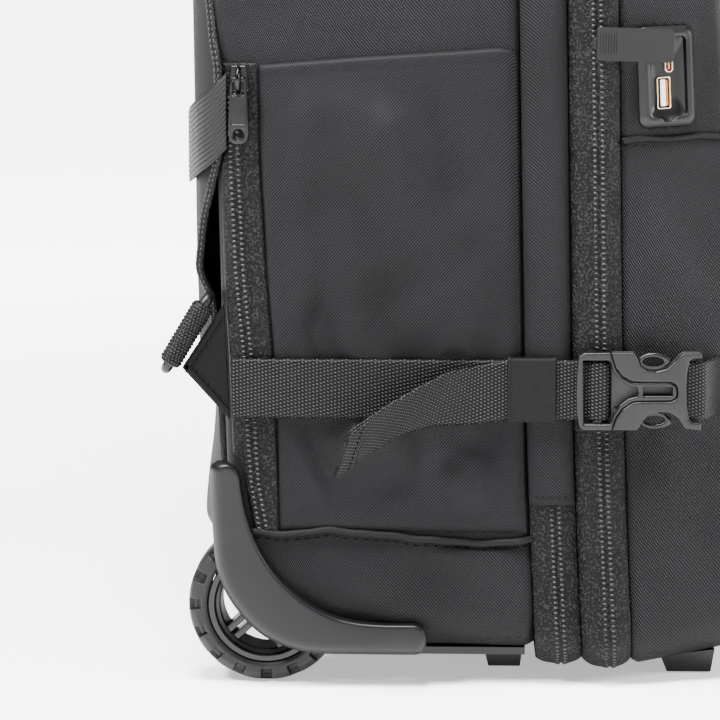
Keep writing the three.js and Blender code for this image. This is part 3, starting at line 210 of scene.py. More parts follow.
def surface(name, points, material, around=False, closed=False, poles=(False, False)):
    """A skin over a grid of points in rows and columns.

    around joins the last column to the first, closed the last row to the first, and poles ends
    the first and last rows in a point. The map holds the lengths along the columns and rows."""
    corners = row(points)
    rows, columns = corners.shape[:2]
    index = np.arange(rows * columns).reshape(rows, columns)
    spans = (rows if closed else rows - 1, columns if around else columns - 1)
    east = np.roll(index, -1, 1)
    quads = np.stack([index, east, np.roll(east, -1, 0), np.roll(index, -1, 0)], -1)
    quads = quads[:spans[0], :spans[1]].reshape(-1, 4)
    step_u = np.linalg.norm(np.roll(corners, -1, 1) - corners, axis=2).mean(0)[:spans[1]]
    step_v = np.linalg.norm(np.roll(corners, -1, 0) - corners, axis=2).mean(1)[:spans[0]]
    u = np.concatenate([[0], np.cumsum(step_u)])
    v = np.concatenate([[0], np.cumsum(step_v)])
    grid = np.stack(np.meshgrid(u, v), -1)
    quad_map = np.stack([grid[:-1, :-1], grid[:-1, 1:], grid[1:, 1:], grid[1:, :-1]], -2)
    faces, maps = [quads], [quad_map.reshape(-1, 4, 2)]
    flat = corners.reshape(-1, 3)
    for end, wanted in zip((0, -1), poles):
        if wanted:
            pair = (index[end, :spans[1]], east[end, :spans[1]])
            tip = np.full(spans[1], len(flat))
            faces.append(np.stack([*(pair if end else pair[::-1]), tip], -1))
            edge = np.stack([u[:-1], u[1:]], -1)[:, ::1 if end else -1]
            reach = np.linalg.norm(corners[end] - corners[end].mean(0), axis=1).mean()
            height = v[end] + (reach if end else -reach)
            tri = np.zeros((spans[1], 3, 2))
            tri[:, :2, 0] = edge
            tri[:, 2, 0] = edge.mean(1)
            tri[:, :2, 1] = v[end]
            tri[:, 2, 1] = height
            maps.append(tri)
            flat = np.vstack([flat, corners[end].mean(0)])
    return make_piece(name, flat, faces, maps, material)


def woven(name, thread, gap_shade, pitch, relief, roughness, slant=0.0, edge=(-0.4, 0.9), cloud=0.2,
          gloss=0.1):
    """Cloth of raised thread floats: the product of a sine along and a sine across, staggered.

    pitch is the repeat along the map's U and V in millimetres, relief the floats' height, and
    edge the range of the product that rises from the gaps to the top of a float. By that rise the
    floats take the thread colour as a painted highlight and the gaps the gap colour as painted
    shade."""
    material, tree, shader = new_material(name)
    place = add_node(tree, "ShaderNodeUVMap", {}, uv_map="map")
    map_u = add_node(tree, "ShaderNodeSeparateXYZ", {0: place})
    map_v = map_u.node.outputs[1]
    turn = 2 * np.pi * 1000
    along = add_node(tree, "ShaderNodeMath", {0: map_u, 1: turn / pitch[0]},
                     operation="MULTIPLY")
    across = add_node(tree, "ShaderNodeMath", {0: map_v, 1: turn / pitch[1]},
                      operation="MULTIPLY")
    drift = add_node(tree, "ShaderNodeMath", {0: across, 1: slant, 2: along},
                     operation="MULTIPLY_ADD")
    wave = [add_node(tree, "ShaderNodeMath", {0: value}, operation="SINE")
            for value in (drift, across)]
    floats = add_node(tree, "ShaderNodeMath", {0: wave[0], 1: wave[1]}, operation="MULTIPLY")
    height = add_node(tree, "ShaderNodeMapRange",
                      {"Value": floats, "From Min": edge[0], "From Max": edge[1]},
                      interpolation_type="SMOOTHSTEP")
    spot = add_node(tree, "ShaderNodeTexCoord", {}, output="Object")
    blotch = add_node(tree, "ShaderNodeTexNoise", {"Vector": spot, "Scale": 14, "Detail": 3})
    fibre = add_node(tree, "ShaderNodeTexNoise", {"Vector": spot, "Scale": 1500, "Detail": 1})
    lift = add_node(tree, "ShaderNodeMath", {0: fibre, 1: 0.35, 2: height},
                    operation="MULTIPLY_ADD")
    # Painted light: float tops in the thread colour as a painted highlight, gaps in the gap colour
    # as painted shade
    colour = add_node(tree, "ShaderNodeMixRGB",
                      {"Fac": height, "Color1": linear(gap_shade), "Color2": linear(thread)})
    shade = add_node(tree, "ShaderNodeMapRange",
                     {"Value": blotch, "From Min": 0.3, "From Max": 0.7, "To Min": 1 - cloud,
                      "To Max": 1 + cloud})
    toned = add_node(tree, "ShaderNodeVectorMath", {0: colour, "Scale": shade}, operation="SCALE")
    bump = add_node(tree, "ShaderNodeBump", {"Height": lift, "Strength": 1.0,
                                             "Distance": relief / 1000})
    tree.links.new(toned, shader.inputs["Base Color"])
    tree.links.new(bump, shader.inputs["Normal"])
    shader.inputs["Roughness"].default_value = roughness
    shader.inputs["Specular IOR Level"].default_value = gloss
    return material


# Coated polyester canvas: threads about 0.75 mm apart, black, with a grey painted highlight for the
# lustre on each float and near-black painted shade in the gaps
canvas = woven("coated polyester canvas", "2F2F33", "010101", (1.5, 0.95), 0.3, 0.6, slant=0.35,
               edge=(0.05, 0.9))


def body_rows(depths, inset_at, foot_at):
    """Loops of the main compartment at each depth, leaned, with their directions out."""
    rings = []
    for depth in depths:
        inset = inset_at(depth)
        rings.append(loop(SIDE - inset, BAG_TOP - inset, foot_at(depth), TOP_RADIUS - inset,
                          FOOT_RADIUS))
    ring = np.array(rings)
    points = np.stack([np.broadcast_to(np.asarray(depths)[:, None], ring.shape[:2])
                       + lean(ring[..., 1]), ring[..., 0], ring[..., 1]], -1)
    return points, ring[..., 2:]


def pushed(points, out, height):
    """The points moved along their directions across and up."""
    moved = points.copy()
    moved[..., 1:] += out * height[..., None]
    return moved


def capped(points, middle, shares):
    """Copies of an outline, each drawn in towards its middle to a share of its size."""
    return np.array([middle + share * (points - middle) for share in shares])


def back_inset(depth):
    """Inset of the rounded edge round the back panel: a quarter circle."""
    left = np.maximum(0, BACK_ROUND - (depth - BACK))
    return BACK_ROUND - np.sqrt(np.maximum(0, BACK_ROUND ** 2 - left ** 2))


def rear_foot(depth):
    """Height of the rounded lower rear corner: a quarter circle of a large radius."""
    reach = np.maximum(0, BACK + REAR_RADIUS - depth)
    return BASE + REAR_RADIUS - np.sqrt(np.maximum(0, REAR_RADIUS ** 2 - reach ** 2))


depths = BACK + np.concatenate([8 * (1 - np.cos(np.linspace(0, np.pi / 2, 9)[:-1])),
                                np.linspace(8, EXPANSION_SEAM - 0.2 - BACK, 62)])
main_points, main_out = body_rows(depths, back_inset, rear_foot)
depth_grid = np.broadcast_to(depths[:, None], main_points.shape[:2])
height_grid = main_points[..., 2]
on_side = ease(np.abs(main_out[..., 0]), 0.7, 0.95)
under_pocket = on_side * (1 - ease(height_grid, 274, 290)) * ease(height_grid, 58, 66)
lower_panel = on_side * (1 - ease(height_grid, 60, 67)) * ease(depth_grid, 44, 66)
puff = ripples(depth_grid, height_grid + main_points[..., 1] * 0.6, 3, 90, 0.9) * (1 - under_pocket)
puff *= 1 - 0.85 * on_side * (1 - ease(height_grid, 66, 80))
puff += lower_panel * (2.1 * bell(height_grid, 45, 22)
                       + ripples(depth_grid, height_grid, 8, 34, 1.0))
puff += on_side * ease(height_grid, 290, 350) * 1.2 * bell(depth_grid, 78, 50)
puff -= 2.2 * ease(depth_grid, EXPANSION_SEAM - 5.5, EXPANSION_SEAM) ** 2
puff = np.where(under_pocket > 0.3, np.minimum(puff, 0.1), puff)
main_points = pushed(main_points, main_out, puff)
back_middle = np.array([BACK + 1, 0, 280.0])
back_rows = capped(main_points[0], back_middle, np.linspace(0.06, 0.985, 16))
inner_rows = capped(main_points[-1], np.array([EXPANSION_SEAM - 0.4, 0, 260.0]),
                    (0.99, 0.96, 0.8, 0.5, 0.2))
main_compartment = surface("main_compartment_cloth",
                           np.vstack([back_rows, main_points, inner_rows]), canvas,
                           around=True, poles=(True, True))


def carve(piece, cutter):
    """Cuts one mesh with another and keeps the result."""
    modifier = piece.modifiers.new("carve", "BOOLEAN")
    modifier.operation = "DIFFERENCE"
    modifier.solver = "EXACT"
    modifier.object = cutter
    evaluated = piece.evaluated_get(bpy.context.evaluated_depsgraph_get())
    carved = bpy.data.meshes.new_from_object(evaluated)
    piece.modifiers.clear()
    piece.data = carved
    bpy.data.objects.remove(cutter)


WHEEL_X, WHEEL_Y, WHEEL_R = 31.3, 149, 34
WELL_R = 41.7
WELL_INNER, WELL_OUTER = 127.4, 161.7
MOUTH_INNER, MOUTH_OUTER = 160.9, 172
GUARD_LEFT, GUARD_RIGHT, GUARD_FOOT, GUARD_TOP, GUARD_ARM = 7.6, 101.3, 13.6, 99.4, 14


def guard_curve(share_x, share_z, power, inset, steps=60):
    """A quarter of a superellipse that sweeps from the guard's top arm to its foot arm."""
    x = GUARD_LEFT + (GUARD_RIGHT - GUARD_LEFT) * share_x
    z = GUARD_FOOT + (GUARD_TOP - GUARD_FOOT) * share_z
    angle = np.linspace(0, np.pi / 2, steps)
    return np.stack([x - (x - GUARD_LEFT - inset) * np.cos(angle) ** (2 / power),
                     z - (z - GUARD_FOOT - inset) * np.sin(angle) ** (2 / power)], -1)


def wheel_mouth():
    """The well's outline in the side wall: a circle, held back to the guard's inner edge."""
    edge = guard_curve(0.8, 0.93, 2.05, GUARD_ARM - 3) - (WHEEL_X, WHEEL_R)
    bearing = np.arctan2(edge[:, 1], edge[:, 0])
    order = np.argsort(bearing)
    angle = np.linspace(-np.pi, np.pi, 160, endpoint=False)
    reach = np.interp(angle, bearing[order], np.linalg.norm(edge, axis=1)[order],
                      left=WELL_R, right=WELL_R)
    reach = np.minimum(reach, WELL_R)
    return np.stack([WHEEL_X + reach * np.cos(angle), WHEEL_R + reach * np.sin(angle)], -1)


def upright_prism(name, outline, near, far, material):
    """A closed prism over an outline of depths and heights, between two places across."""
    ring = [np.stack([outline[:, 0], np.full(len(outline), y), outline[:, 1]], -1)
            for y in (near, far)]
    return surface(name, np.array(ring), material, around=True, poles=(True, True))


angle = np.linspace(0, 2 * np.pi, 96, endpoint=False)
circle = np.stack([WHEEL_X + WELL_R * np.cos(angle), WHEEL_R + WELL_R * np.sin(angle)], -1)
for side in (-1, 1):
    carve(main_compartment, upright_prism("well", circle, side * WELL_INNER, side * WELL_OUTER,
                                          canvas))
    carve(main_compartment, upright_prism("mouth", wheel_mouth(), side * MOUTH_INNER,
                                          side * MOUTH_OUTER, canvas))
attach(main_compartment, "bag")
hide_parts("main_compartment")

# Piping and stitches of the lower side panel
# A cord in a strip of the canvas, sewn into the seam between the pocket and the lower panel, with
# a row of thread stitches close below it and another above the bottom edge.


def sweep(name, path, profile, up, material, closed=False):
    """Carries a closed profile of sideways and upward offsets along a path.

    The profile stands across the path: its second number points along up, its first sideways."""
    path = np.asarray(path, float)
    if closed:
        run = np.roll(path, -1, 0) - np.roll(path, 1, 0)
    else:
        run = np.gradient(path, axis=0)
    run /= np.linalg.norm(run, axis=1)[:, None]
    side = np.cross(run, np.broadcast_to(up, path.shape))
    side /= np.linalg.norm(side, axis=1)[:, None]
    top = np.cross(side, run)
    profile = np.asarray(profile, float)
    if profile.ndim == 2:
        profile = np.broadcast_to(profile, (len(path), *profile.shape))
    points = (path[:, None] + profile[..., :1] * side[:, None] + profile[..., 1:] * top[:, None])
    return surface(name, points, material, around=True, closed=closed,
                   poles=(not closed, not closed))


def round_profile(radius, sides=10, squash=1.0):
    """A circle, or an ellipse that is lower by the squash."""
    angle = np.linspace(0, 2 * np.pi, sides, endpoint=False)
    return np.stack([radius * np.cos(angle), radius * squash * np.sin(angle)], -1)


def spaced(path, step):
    """Points at even steps along a path, with the direction of the path there."""
    path = np.asarray(path, float)
    gone = np.concatenate([[0], np.cumsum(np.linalg.norm(np.diff(path, axis=0), axis=1))])
    at = np.arange(step / 2, gone[-1], step)
    points = np.stack([np.interp(at, gone, column) for column in path.T], -1)
    ahead = np.stack([np.interp(at + 0.2, gone, column) for column in path.T], -1)
    run = ahead - np.stack([np.interp(at - 0.2, gone, column) for column in path.T], -1)
    return points, run / np.linalg.norm(run, axis=1)[:, None]


def studs(name, centres, along, out, size, material, around=8, rings=2):
    """Many small rounded bars as one mesh: half an ellipsoid's rise over each centre.

    size is the length along, the width across and the rise out of the cloth."""
    centres = np.asarray(centres, float)
    along = np.broadcast_to(along, centres.shape)
    out = np.broadcast_to(out, centres.shape)
    side = np.cross(out, along)
    angle = np.linspace(0, 2 * np.pi, around, endpoint=False)
    level = np.linspace(0, np.pi / 2, rings + 1)[:-1]
    width = np.concatenate([[0.9], np.cos(level) ** 0.7])
    lift = np.concatenate([[-0.35], np.sin(level)])
    local = np.concatenate([np.stack([w * np.cos(angle), w * np.sin(angle),
                                      np.full(around, h)], -1) for w, h in zip(width, lift)])
    local = np.vstack([local, [0, 0, -0.35], [0, 0, 1]]) * (size[0] / 2, size[1] / 2, size[2])
    points = (centres[:, None] + local[None, :, :1] * along[:, None]
              + local[None, :, 1:2] * side[:, None] + local[None, :, 2:] * out[:, None])
    ring = np.arange(around)
    following = (ring + 1) % around
    quads = np.concatenate([np.stack([ring + k * around, following + k * around,
                                      following + (k + 1) * around, ring + (k + 1) * around], -1)
                            for k in range(len(width) - 1)])
    foot, tip, last = len(local) - 2, len(local) - 1, (len(width) - 1) * around
    fans = np.concatenate([np.stack([following, ring, np.full(around, foot)], -1),
                           np.stack([ring + last, following + last, np.full(around, tip)], -1)])
    shift = np.arange(len(centres))[:, None, None] * len(local)
    faces = [(group[None] + shift).reshape(-1, group.shape[1]) for group in (quads, fans)]
    maps = [np.zeros((len(group), group.shape[1], 2)) for group in faces]
    return make_piece(name, row(points.reshape(-1, 3)), faces, maps, material)


def plain(name, colour, roughness, relief=0.0, grain=1.0, tint=0.12, metallic=0.0, painted_glint=None,
          **sockets):
    """A moulded, spun or cast finish: one colour with a little cloud, and a fine even grain.

    grain is the grain's width in millimetres, relief its height, and speck a second colour that
    the raised grains take as a painted highlight."""
    material, tree, shader = new_material(name)
    spot = add_node(tree, "ShaderNodeTexCoord", {}, output="Object")
    cloud = add_node(tree, "ShaderNodeTexNoise", {"Vector": spot, "Scale": 60, "Detail": 4})
    shade = add_node(tree, "ShaderNodeMapRange",
                     {"Value": cloud, "From Min": 0.3, "From Max": 0.7, "To Min": 1 - tint,
                      "To Max": 1 + tint})
    toned = add_node(tree, "ShaderNodeVectorMath", {0: linear(colour)[:3], "Scale": shade},
                     operation="SCALE")
    tree.links.new(toned, shader.inputs["Base Color"])
    gloss = add_node(tree, "ShaderNodeMapRange",
                     {"Value": cloud, "From Min": 0.3, "From Max": 0.7,
                      "To Min": roughness * 0.88, "To Max": min(1, roughness * 1.12)})
    tree.links.new(gloss, shader.inputs["Roughness"])
    if relief:
        noise = add_node(tree, "ShaderNodeTexNoise",
                         {"Vector": spot, "Scale": 1000 / grain, "Detail": 2})
        bump = add_node(tree, "ShaderNodeBump",
                        {"Height": noise, "Strength": 1.0, "Distance": relief / 1000})
        tree.links.new(bump, shader.inputs["Normal"])
    if painted_glint:
        # Painted highlight: the raised grains take the speck colour
        raised = add_node(tree, "ShaderNodeMapRange",
                          {"Value": noise, "From Min": 0.5, "From Max": 0.66})
        glinted = add_node(tree, "ShaderNodeMixRGB",
                            {"Fac": raised, "Color1": toned, "Color2": linear(painted_glint)})
        tree.links.new(glinted, shader.inputs["Base Color"])
    shader.inputs["Metallic"].default_value = metallic
    for socket, value in sockets.items():
        shader.inputs[socket.replace("_", " ")].default_value = value
    return material


# Bonded polyester thread, black and slightly shiny
thread = plain("bonded polyester thread", "020202", 0.6, relief=0.05, grain=0.4,
               Specular_IOR_Level=0.1)
# Knitted zip tape and bound edges: black, a fine pebbled pile whose raised grains take a grey
# painted highlight, for the light it catches in points
tape = plain("knitted zip tape", "020202", 0.6, relief=0.6, grain=1.0, tint=0.3, painted_glint="1D1D1F",
             Specular_IOR_Level=0.1)

pipe_line = np.array([(22, 68), (25.8, 67.7), (35.7, 66), (46.4, 67), (59.4, 68.4), (72.3, 67.1),
                      (89.5, 65.5), (110.9, 63.5), (132.4, 62.8), (146.1, 64.6)])
pipe_depth = np.linspace(26, 146, 160)
pipe_height = np.interp(pipe_depth, *pipe_line.T)
pipe_height = np.convolve(np.pad(pipe_height, 6, mode="edge"), np.ones(13) / 13, "valid")
pipe_height += 0.25 * np.sin(pipe_depth / 4.1) + 0.15 * np.sin(pipe_depth / 2.3 + 1)
for side, word in ((-1, "left"), (1, "right")):
    out = np.array([0, side, 0])
    path = np.stack([pipe_depth, np.full(160, side * (SIDE + 1.3)), pipe_height], -1)
    path[-8:, 1] -= side * np.linspace(0, 2.4, 8)
    piping = sweep(f"lower_piping_{word}", path, round_profile(1.5, 12, 1.15), out, canvas)
    below = path + (0, -side * 0.1, -3.0)
    centres, along = spaced(below, 4.3)
    seam = studs(f"lower_piping_stitches_{word}", centres, along, out, (3.0, 0.75, 0.55), thread)
    hem_depth = np.linspace(104, 141, 40)
    hem = np.stack([hem_depth, np.full(40, side * (SIDE + 0.2)),
                    19.5 + 2.2 * ease(hem_depth, 118, 141)], -1)
    centres, along = spaced(hem, 4.3)
    hem_row = studs(f"lower_hem_stitches_{word}", centres, along, out, (3.0, 0.7, 0.5), thread)
    for piece in (piping, seam, hem_row):
        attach(piece, "bag")

# Side pocket
# A patch pocket of the same canvas on each side, folded at its top edge and sewn in at the zip, the
# expansion seam and the piping. It hangs slack, with soft folds.
zip_foot, zip_top = 68, 268
zip_table = np.array([(0, 26.6, 30.6, 36.9), (0.1, 23, 27.2, 36.6), (0.158, 21.2, 26.4, 36.3),
                      (0.166, 17.6, 26.3, 36.2), (0.38, 16, 24.3, 34.6), (0.56, 13.9, 21, 31.8),
                      (0.82, 12.8, 18.9, 29.1), (1, 12.8, 18, 28.6)])


def zip_at(z, column):
    """Depth of the side zip's left edge, coil middle or right edge at a height."""
    return np.interp((z - zip_foot) / (zip_top - zip_foot), zip_table[:, 0], zip_table[:, column])


pocket_folds = (  # depth and height of each fold's ends, its width and its height off the wall
    (46, 250, 70, 150, 11, 1.5),
    (76, 262, 118, 150, 15, 2.0),
    (52, 236, 66, 96, 8, -1.7),
    (98, 258, 132, 190, 10, -1.3),
    (74, 112, 128, 84, 11, 1.6),
    (48, 112, 70, 74, 6, -1.2),
    (96, 110, 104, 74, 6, -1.0),
)


def fold(x, z, start_x, start_z, end_x, end_z, width, height):
    """A soft ridge along a line: a bell across it, eased away past its ends."""
    run = np.array([end_x - start_x, end_z - start_z], float)
    length = np.hypot(*run)
    run /= length
    along = (x - start_x) * run[0] + (z - start_z) * run[1]
    across = (z - start_z) * run[0] - (x - start_x) * run[1]
    ends = ease(along, -width * 1.4, width)
    ends = ends * (1 - ease(along, length - width, length + width * 1.4))
    return height * np.exp(-(across / width) ** 2) * ends


POCKET_FOOT = 67.5
POCKET_TOP = ((0, 0.38, 0.75, 0.93, 0.98, 1), (267.3, 270.6, 273.1, 274.6, 273.6, 271.5))


def pocket(word, side, seed):
    """A sheet between the zip and the expansion seam, from the piping up to the sewn top edge.

    Its height off the wall rises from each seam in a smooth step. Inside that it is the folds and
    ripples, eased away at the seams and held down under the strap, and the hem is a low bead."""
    across = np.linspace(0, 1, 110)[None]
    up = np.linspace(0, 1, 190)[:, None]
    top = np.interp(across, *POCKET_TOP)
    z = POCKET_FOOT + (top - POCKET_FOOT) * up
    left = zip_at(z, 3) + 0.5
    right = EXPANSION_SEAM - 1.2 + lean(z)
    x = left + (right - left) * across
    from_left, from_right = x - left, right - x
    from_top, from_foot = top - z, z - POCKET_FOOT
    height = 1.9 * ease(from_left, 0, 1.8) * ease(from_right, 0, 5) ** 0.7
    height *= ease(from_top, -0.2, 1.3) * ease(from_foot, -0.5, 4)
    inside = ease(from_left, 2, 22) * ease(from_right, 3, 24) * ease(from_top, 4, 30)
    inside = inside * ease(from_foot, 2, 26)
    soft = sum(fold(x, z, *line) for line in pocket_folds)
    soft = soft + ripples(x, z, seed, 42, 0.8) + ripples(x, z, seed + 1, 20, 0.25)
    soft = 2.5 * soft
    hem = 0.35 * bell(from_top, 2.4, 1.0) - 0.4 * bell(from_top, 5.6, 0.7)
    height = height + inside * (0.9 + soft) + hem * ease(from_left, 0, 4) * ease(from_right, 0, 5)
    held = 1 - ease(np.abs(z - 130), 13, 22)
    height = np.maximum(np.minimum(height, 4.1 + 4 * (1 - held)), 0.2 * ease(from_left, 0, 2))
    points = np.stack([x, side * (SIDE + 0.35 + height), z], -1)
    piece = surface(f"side_pocket_cloth_{word}", points.swapaxes(0, 1), canvas)
    solid = piece.modifiers.new("cloth", "SOLIDIFY")
    solid.thickness = 0.0003
    solid.offset = -1
    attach(piece, "bag")
    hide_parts(f"side_pocket_{word}")


for side, word, seed in ((-1, "left", 21), (1, "right", 57)):
    pocket(word, side, seed)

# Side zip
# A coil zip down the rear edge of each pocket: a knitted tape with two rows of nylon coil, a metal
# slider at the top and a pressed metal puller on its bridge.
# Nylon coil: black monofilament, coloured dark grey as a painted sheen, which shows as short bars
# on each side of a dark middle
coil = plain("nylon coil", "1C1C1D", 0.4, tint=0.2, Specular_IOR_Level=0.3)
coil_pitch = 2.25


def side_distance(x, z):
    """How far the side wall stands out: full, less the rounded edge beside the back panel."""
    return SIDE - back_inset(np.maximum(x - lean(z), BACK + 0.5))


def side_zip(word, side):
    """A tape on the wall: a smooth step at its edge, a flat bell for the chain and a groove in it.

    The coil is two rows of bars, half a pitch apart, one each side of the groove."""
    z = np.linspace(zip_foot, zip_top, 150)[:, None]
    across = np.linspace(0, 1, 26)[None]
    left, middle, right = (zip_at(z, column) for column in (1, 2, 3))
    x = left + (right - left) * across
    chain = np.exp(-((x - middle) / 3.4) ** 4)
    groove = bell(x, middle, 0.45)
    height = 0.95 * ease(x - left, -0.3, 1.0) + 0.75 * chain - 0.7 * groove
    height = height + 0.18 * np.sin(z / 7.0 + x / 3)
    wall = side_distance(x, z)
    points = np.stack([x, side * (wall + 0.6 + height), z + 0 * x], -1)
    sheet = surface(f"side_zip_tape_{word}", points, tape)
    solid = sheet.modifiers.new("tape", "SOLIDIFY")
    solid.thickness = 0.0006
    solid.offset = -1
    steps = np.arange(zip_foot + 1, zip_top - 13, coil_pitch)
    rows = []
    for offset in (-1.55, 1.55):
        at = steps + (0 if offset < 0 else coil_pitch / 2)
        depth = zip_at(at, 2) + offset
        rows.append(np.stack([depth, side * (side_distance(depth, at) + 2.05), at], -1))
    teeth = studs(f"side_zip_coil_{word}", np.concatenate(rows), (1, 0, 0), (0, side, 0),
                  (2.1, 1.15, 0.75), coil)
    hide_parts(f"side_zip_{word}")
    for piece in (sheet, teeth):
        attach(piece, "bag")


for side, word in ((-1, "left"), (1, "right")):
    side_zip(word, side)

# The slider runs at the top of the zip: its depth, the pivot of its puller and its outer face
SLIDER_X = 21.2
PIVOT = (SLIDER_X, 170.4, 261.0)
FACE = 168.4


def traced(points, rounding, step=0.25):
    """A closed outline through corner points, evenly stepped, its corners softened by averaging."""
    points = np.asarray(points, float)
    ring = np.vstack([points, points[:1]])
    gone = np.concatenate([[0], np.cumsum(np.linalg.norm(np.diff(ring, axis=0), axis=1))])
    count = max(24, int(gone[-1] / step))
    at = np.linspace(0, gone[-1], count, endpoint=False)
    even = np.stack([np.interp(at, gone, column) for column in ring.T], -1)
    reach = max(1, int(rounding / (gone[-1] / count)))
    window = np.hanning(2 * reach + 3)[1:-1]
    window /= window.sum()
    wide = np.vstack([even[-reach:], even, even[:reach]])
    return np.stack([np.convolve(column, window, "valid") for column in wide.T], -1)


def oval(x, z, reach_x, reach_z, count=40):
    """An ellipse as an outline: a cosine along and a sine up, each times its reach."""
    angle = np.linspace(0, 2 * np.pi, count, endpoint=False)
    return np.stack([x + reach_x * np.cos(angle), z + reach_z * np.sin(angle)], -1)


def plate(name, outlines, near, far, bevel, material, side=-1, place=None, resolution=3):
    """A flat part cut to outlines, the first its edge and the rest its holes, with round edges.

    It lies between two distances from the bag's middle, or in the frame of a given 4x4 place."""
    curve = bpy.data.curves.new(name, "CURVE")
    curve.dimensions = "2D"
    curve.fill_mode = "BOTH"
    curve.extrude = (far - near) / 2 - bevel
    curve.bevel_depth = bevel
    curve.offset = -bevel
    curve.bevel_resolution = resolution
    for outline in outlines:
        spline = curve.splines.new("POLY")
        spline.points.add(len(outline) - 1)
        spline.points.foreach_set("co", np.hstack([outline, np.zeros((len(outline), 1)),
                                                   np.ones((len(outline), 1))]).ravel())
        spline.use_cyclic_u = True
    holder = bpy.data.objects.new(name, curve)
    bpy.context.scene.collection.objects.link(holder)
    evaluated = holder.evaluated_get(bpy.context.evaluated_depsgraph_get())
    mesh = bpy.data.meshes.new_from_object(evaluated)
    bpy.data.objects.remove(holder)
    flat = np.zeros(len(mesh.vertices) * 3)
    mesh.vertices.foreach_get("co", flat)
    flat = flat.reshape(-1, 3) + (0, 0, (near + far) / 2)
    if place is None:
        moved = np.stack([flat[:, 0], side * flat[:, 2], flat[:, 1]], -1)
    else:
        moved = flat @ place[:3, :3].T + place[:3, 3]
    mesh.vertices.foreach_set("co", row(moved).ravel())
    tidy = bmesh.new()
    tidy.from_mesh(mesh)
    bmesh.ops.remove_doubles(tidy, verts=tidy.verts, dist=0.00001)
    bmesh.ops.recalc_face_normals(tidy, faces=tidy.faces)
    tidy.to_mesh(mesh)
    tidy.free()
    mesh.polygons.foreach_set("use_smooth", np.ones(len(mesh.polygons), bool))
    mesh.set_sharp_from_angle(angle=0.75)
    mesh.materials.clear()
    mesh.materials.append(material)
    piece = bpy.data.objects.new(name, mesh)
    bpy.context.scene.collection.objects.link(piece)
    piece.modifiers.new("flat faces", "WEIGHTED_NORMAL").keep_sharp = True
    return piece


def fuse(name, pieces):
    """Joins several finished meshes into the first one's object."""
    joined = bmesh.new()
    for piece in pieces:
        joined.from_mesh(piece.data)
    mesh = bpy.data.meshes.new(name)
    joined.to_mesh(mesh)
    joined.free()
    for material in pieces[0].data.materials:
        mesh.materials.append(material)
    mesh.set_sharp_from_angle(angle=0.75)
    piece = bpy.data.objects.new(name, mesh)
    bpy.context.scene.collection.objects.link(piece)
    for old in pieces:
        bpy.data.objects.remove(old)
    piece.modifiers.new("flat faces", "WEIGHTED_NORMAL").keep_sharp = True
    return piece


# Zinc casting with a black nickel finish: dark, smooth and shiny, a little rubbed
black_nickel = plain("black nickel zinc casting", "252526", 0.27, metallic=1.0, tint=0.15)


def slider_and_puller(word, side):
    """A waisted base with half a ring as its bridge, and a long blade with a framed panel.

    The bridge is half an ellipse swept by a round wire; the blade is cut to its outline, with a
    slot at the bridge and an eye at the foot."""
    body = plate("slider_base", [traced([(SLIDER_X - 4.4, 256.4), (SLIDER_X - 3.4, 267),
                                         (SLIDER_X + 3.4, 267), (SLIDER_X + 4.4, 256.4),
                                         (SLIDER_X + 2.2, 254.8), (SLIDER_X - 2.2, 254.8)], 1.2)],
                 FACE - 1.9, FACE + 0.2, 0.7, black_nickel, side)
    angle = np.linspace(0, np.pi, 24)
    arch = np.stack([np.full(24, SLIDER_X), side * (FACE + 4.3 * np.sin(angle)),
                     261.2 + 4.4 * np.cos(angle)], -1)
    bridge = sweep("slider_bridge", arch, round_profile(1.5, 12, 0.75), (1, 0, 0), black_nickel)
    slider = fuse(f"zip_slider_metal_{word}", [body, bridge])
    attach(slider, "bag")
    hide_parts(f"zip_slider_{word}")
    top, foot, half = PIVOT[2] + 1.1, PIVOT[2] + 1.1 - 28, 4.4
    outline = traced([(SLIDER_X - 2.6, top), (SLIDER_X + 2.6, top), (SLIDER_X + 3.5, top - 2.4),
                      (SLIDER_X + half, foot + 5), (SLIDER_X + 3.6, foot + 1.4),
                      (SLIDER_X + 1.5, foot), (SLIDER_X - 1.5, foot), (SLIDER_X - 3.6, foot + 1.4),
                      (SLIDER_X - half, foot + 5), (SLIDER_X - 3.5, top - 2.4)], 1.0)
    ring_hole = traced([(SLIDER_X - 2.1, top - 1.9), (SLIDER_X + 2.1, top - 1.9),
                        (SLIDER_X + 2.2, top - 6.6), (SLIDER_X - 2.2, top - 6.6)], 1.0)
    eye = oval(SLIDER_X, foot + 4.2, 2.3, 2.3)
    y = PIVOT[1]
    blade = plate("puller_blade", [outline, ring_hole, eye], y - 0.8, y + 0.8, 0.45, black_nickel,
                  side)
    panel = traced([(SLIDER_X - 2.4, top - 8.4), (SLIDER_X + 2.4, top - 8.4),
                    (SLIDER_X + 2.9, foot + 8.4), (SLIDER_X - 2.9, foot + 8.4)], 0.6)
    frame_out = traced([(SLIDER_X - 3.2, top - 7.6), (SLIDER_X + 3.2, top - 7.6),
                        (SLIDER_X + 3.7, foot + 7.6), (SLIDER_X - 3.7, foot + 7.6)], 0.8)
    ridge = plate("puller_ridge", [frame_out, panel], y + 0.3, y + 1.15, 0.25, black_nickel, side)
    puller = fuse(f"zip_puller_metal_{word}", [blade, ridge])
    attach(puller, f"puller_{word}")
    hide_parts(f"zip_puller_{word}")


for side, word in ((-1, "left"), (1, "right")):
    slider_and_puller(word, side)

# Expansion gusset and main zip
# Two soft rings of knitted tape round the whole bag, each with a coil zip. A canvas flap covers the
# upper part of the expansion zip and ends in a sewn hem above the foot.


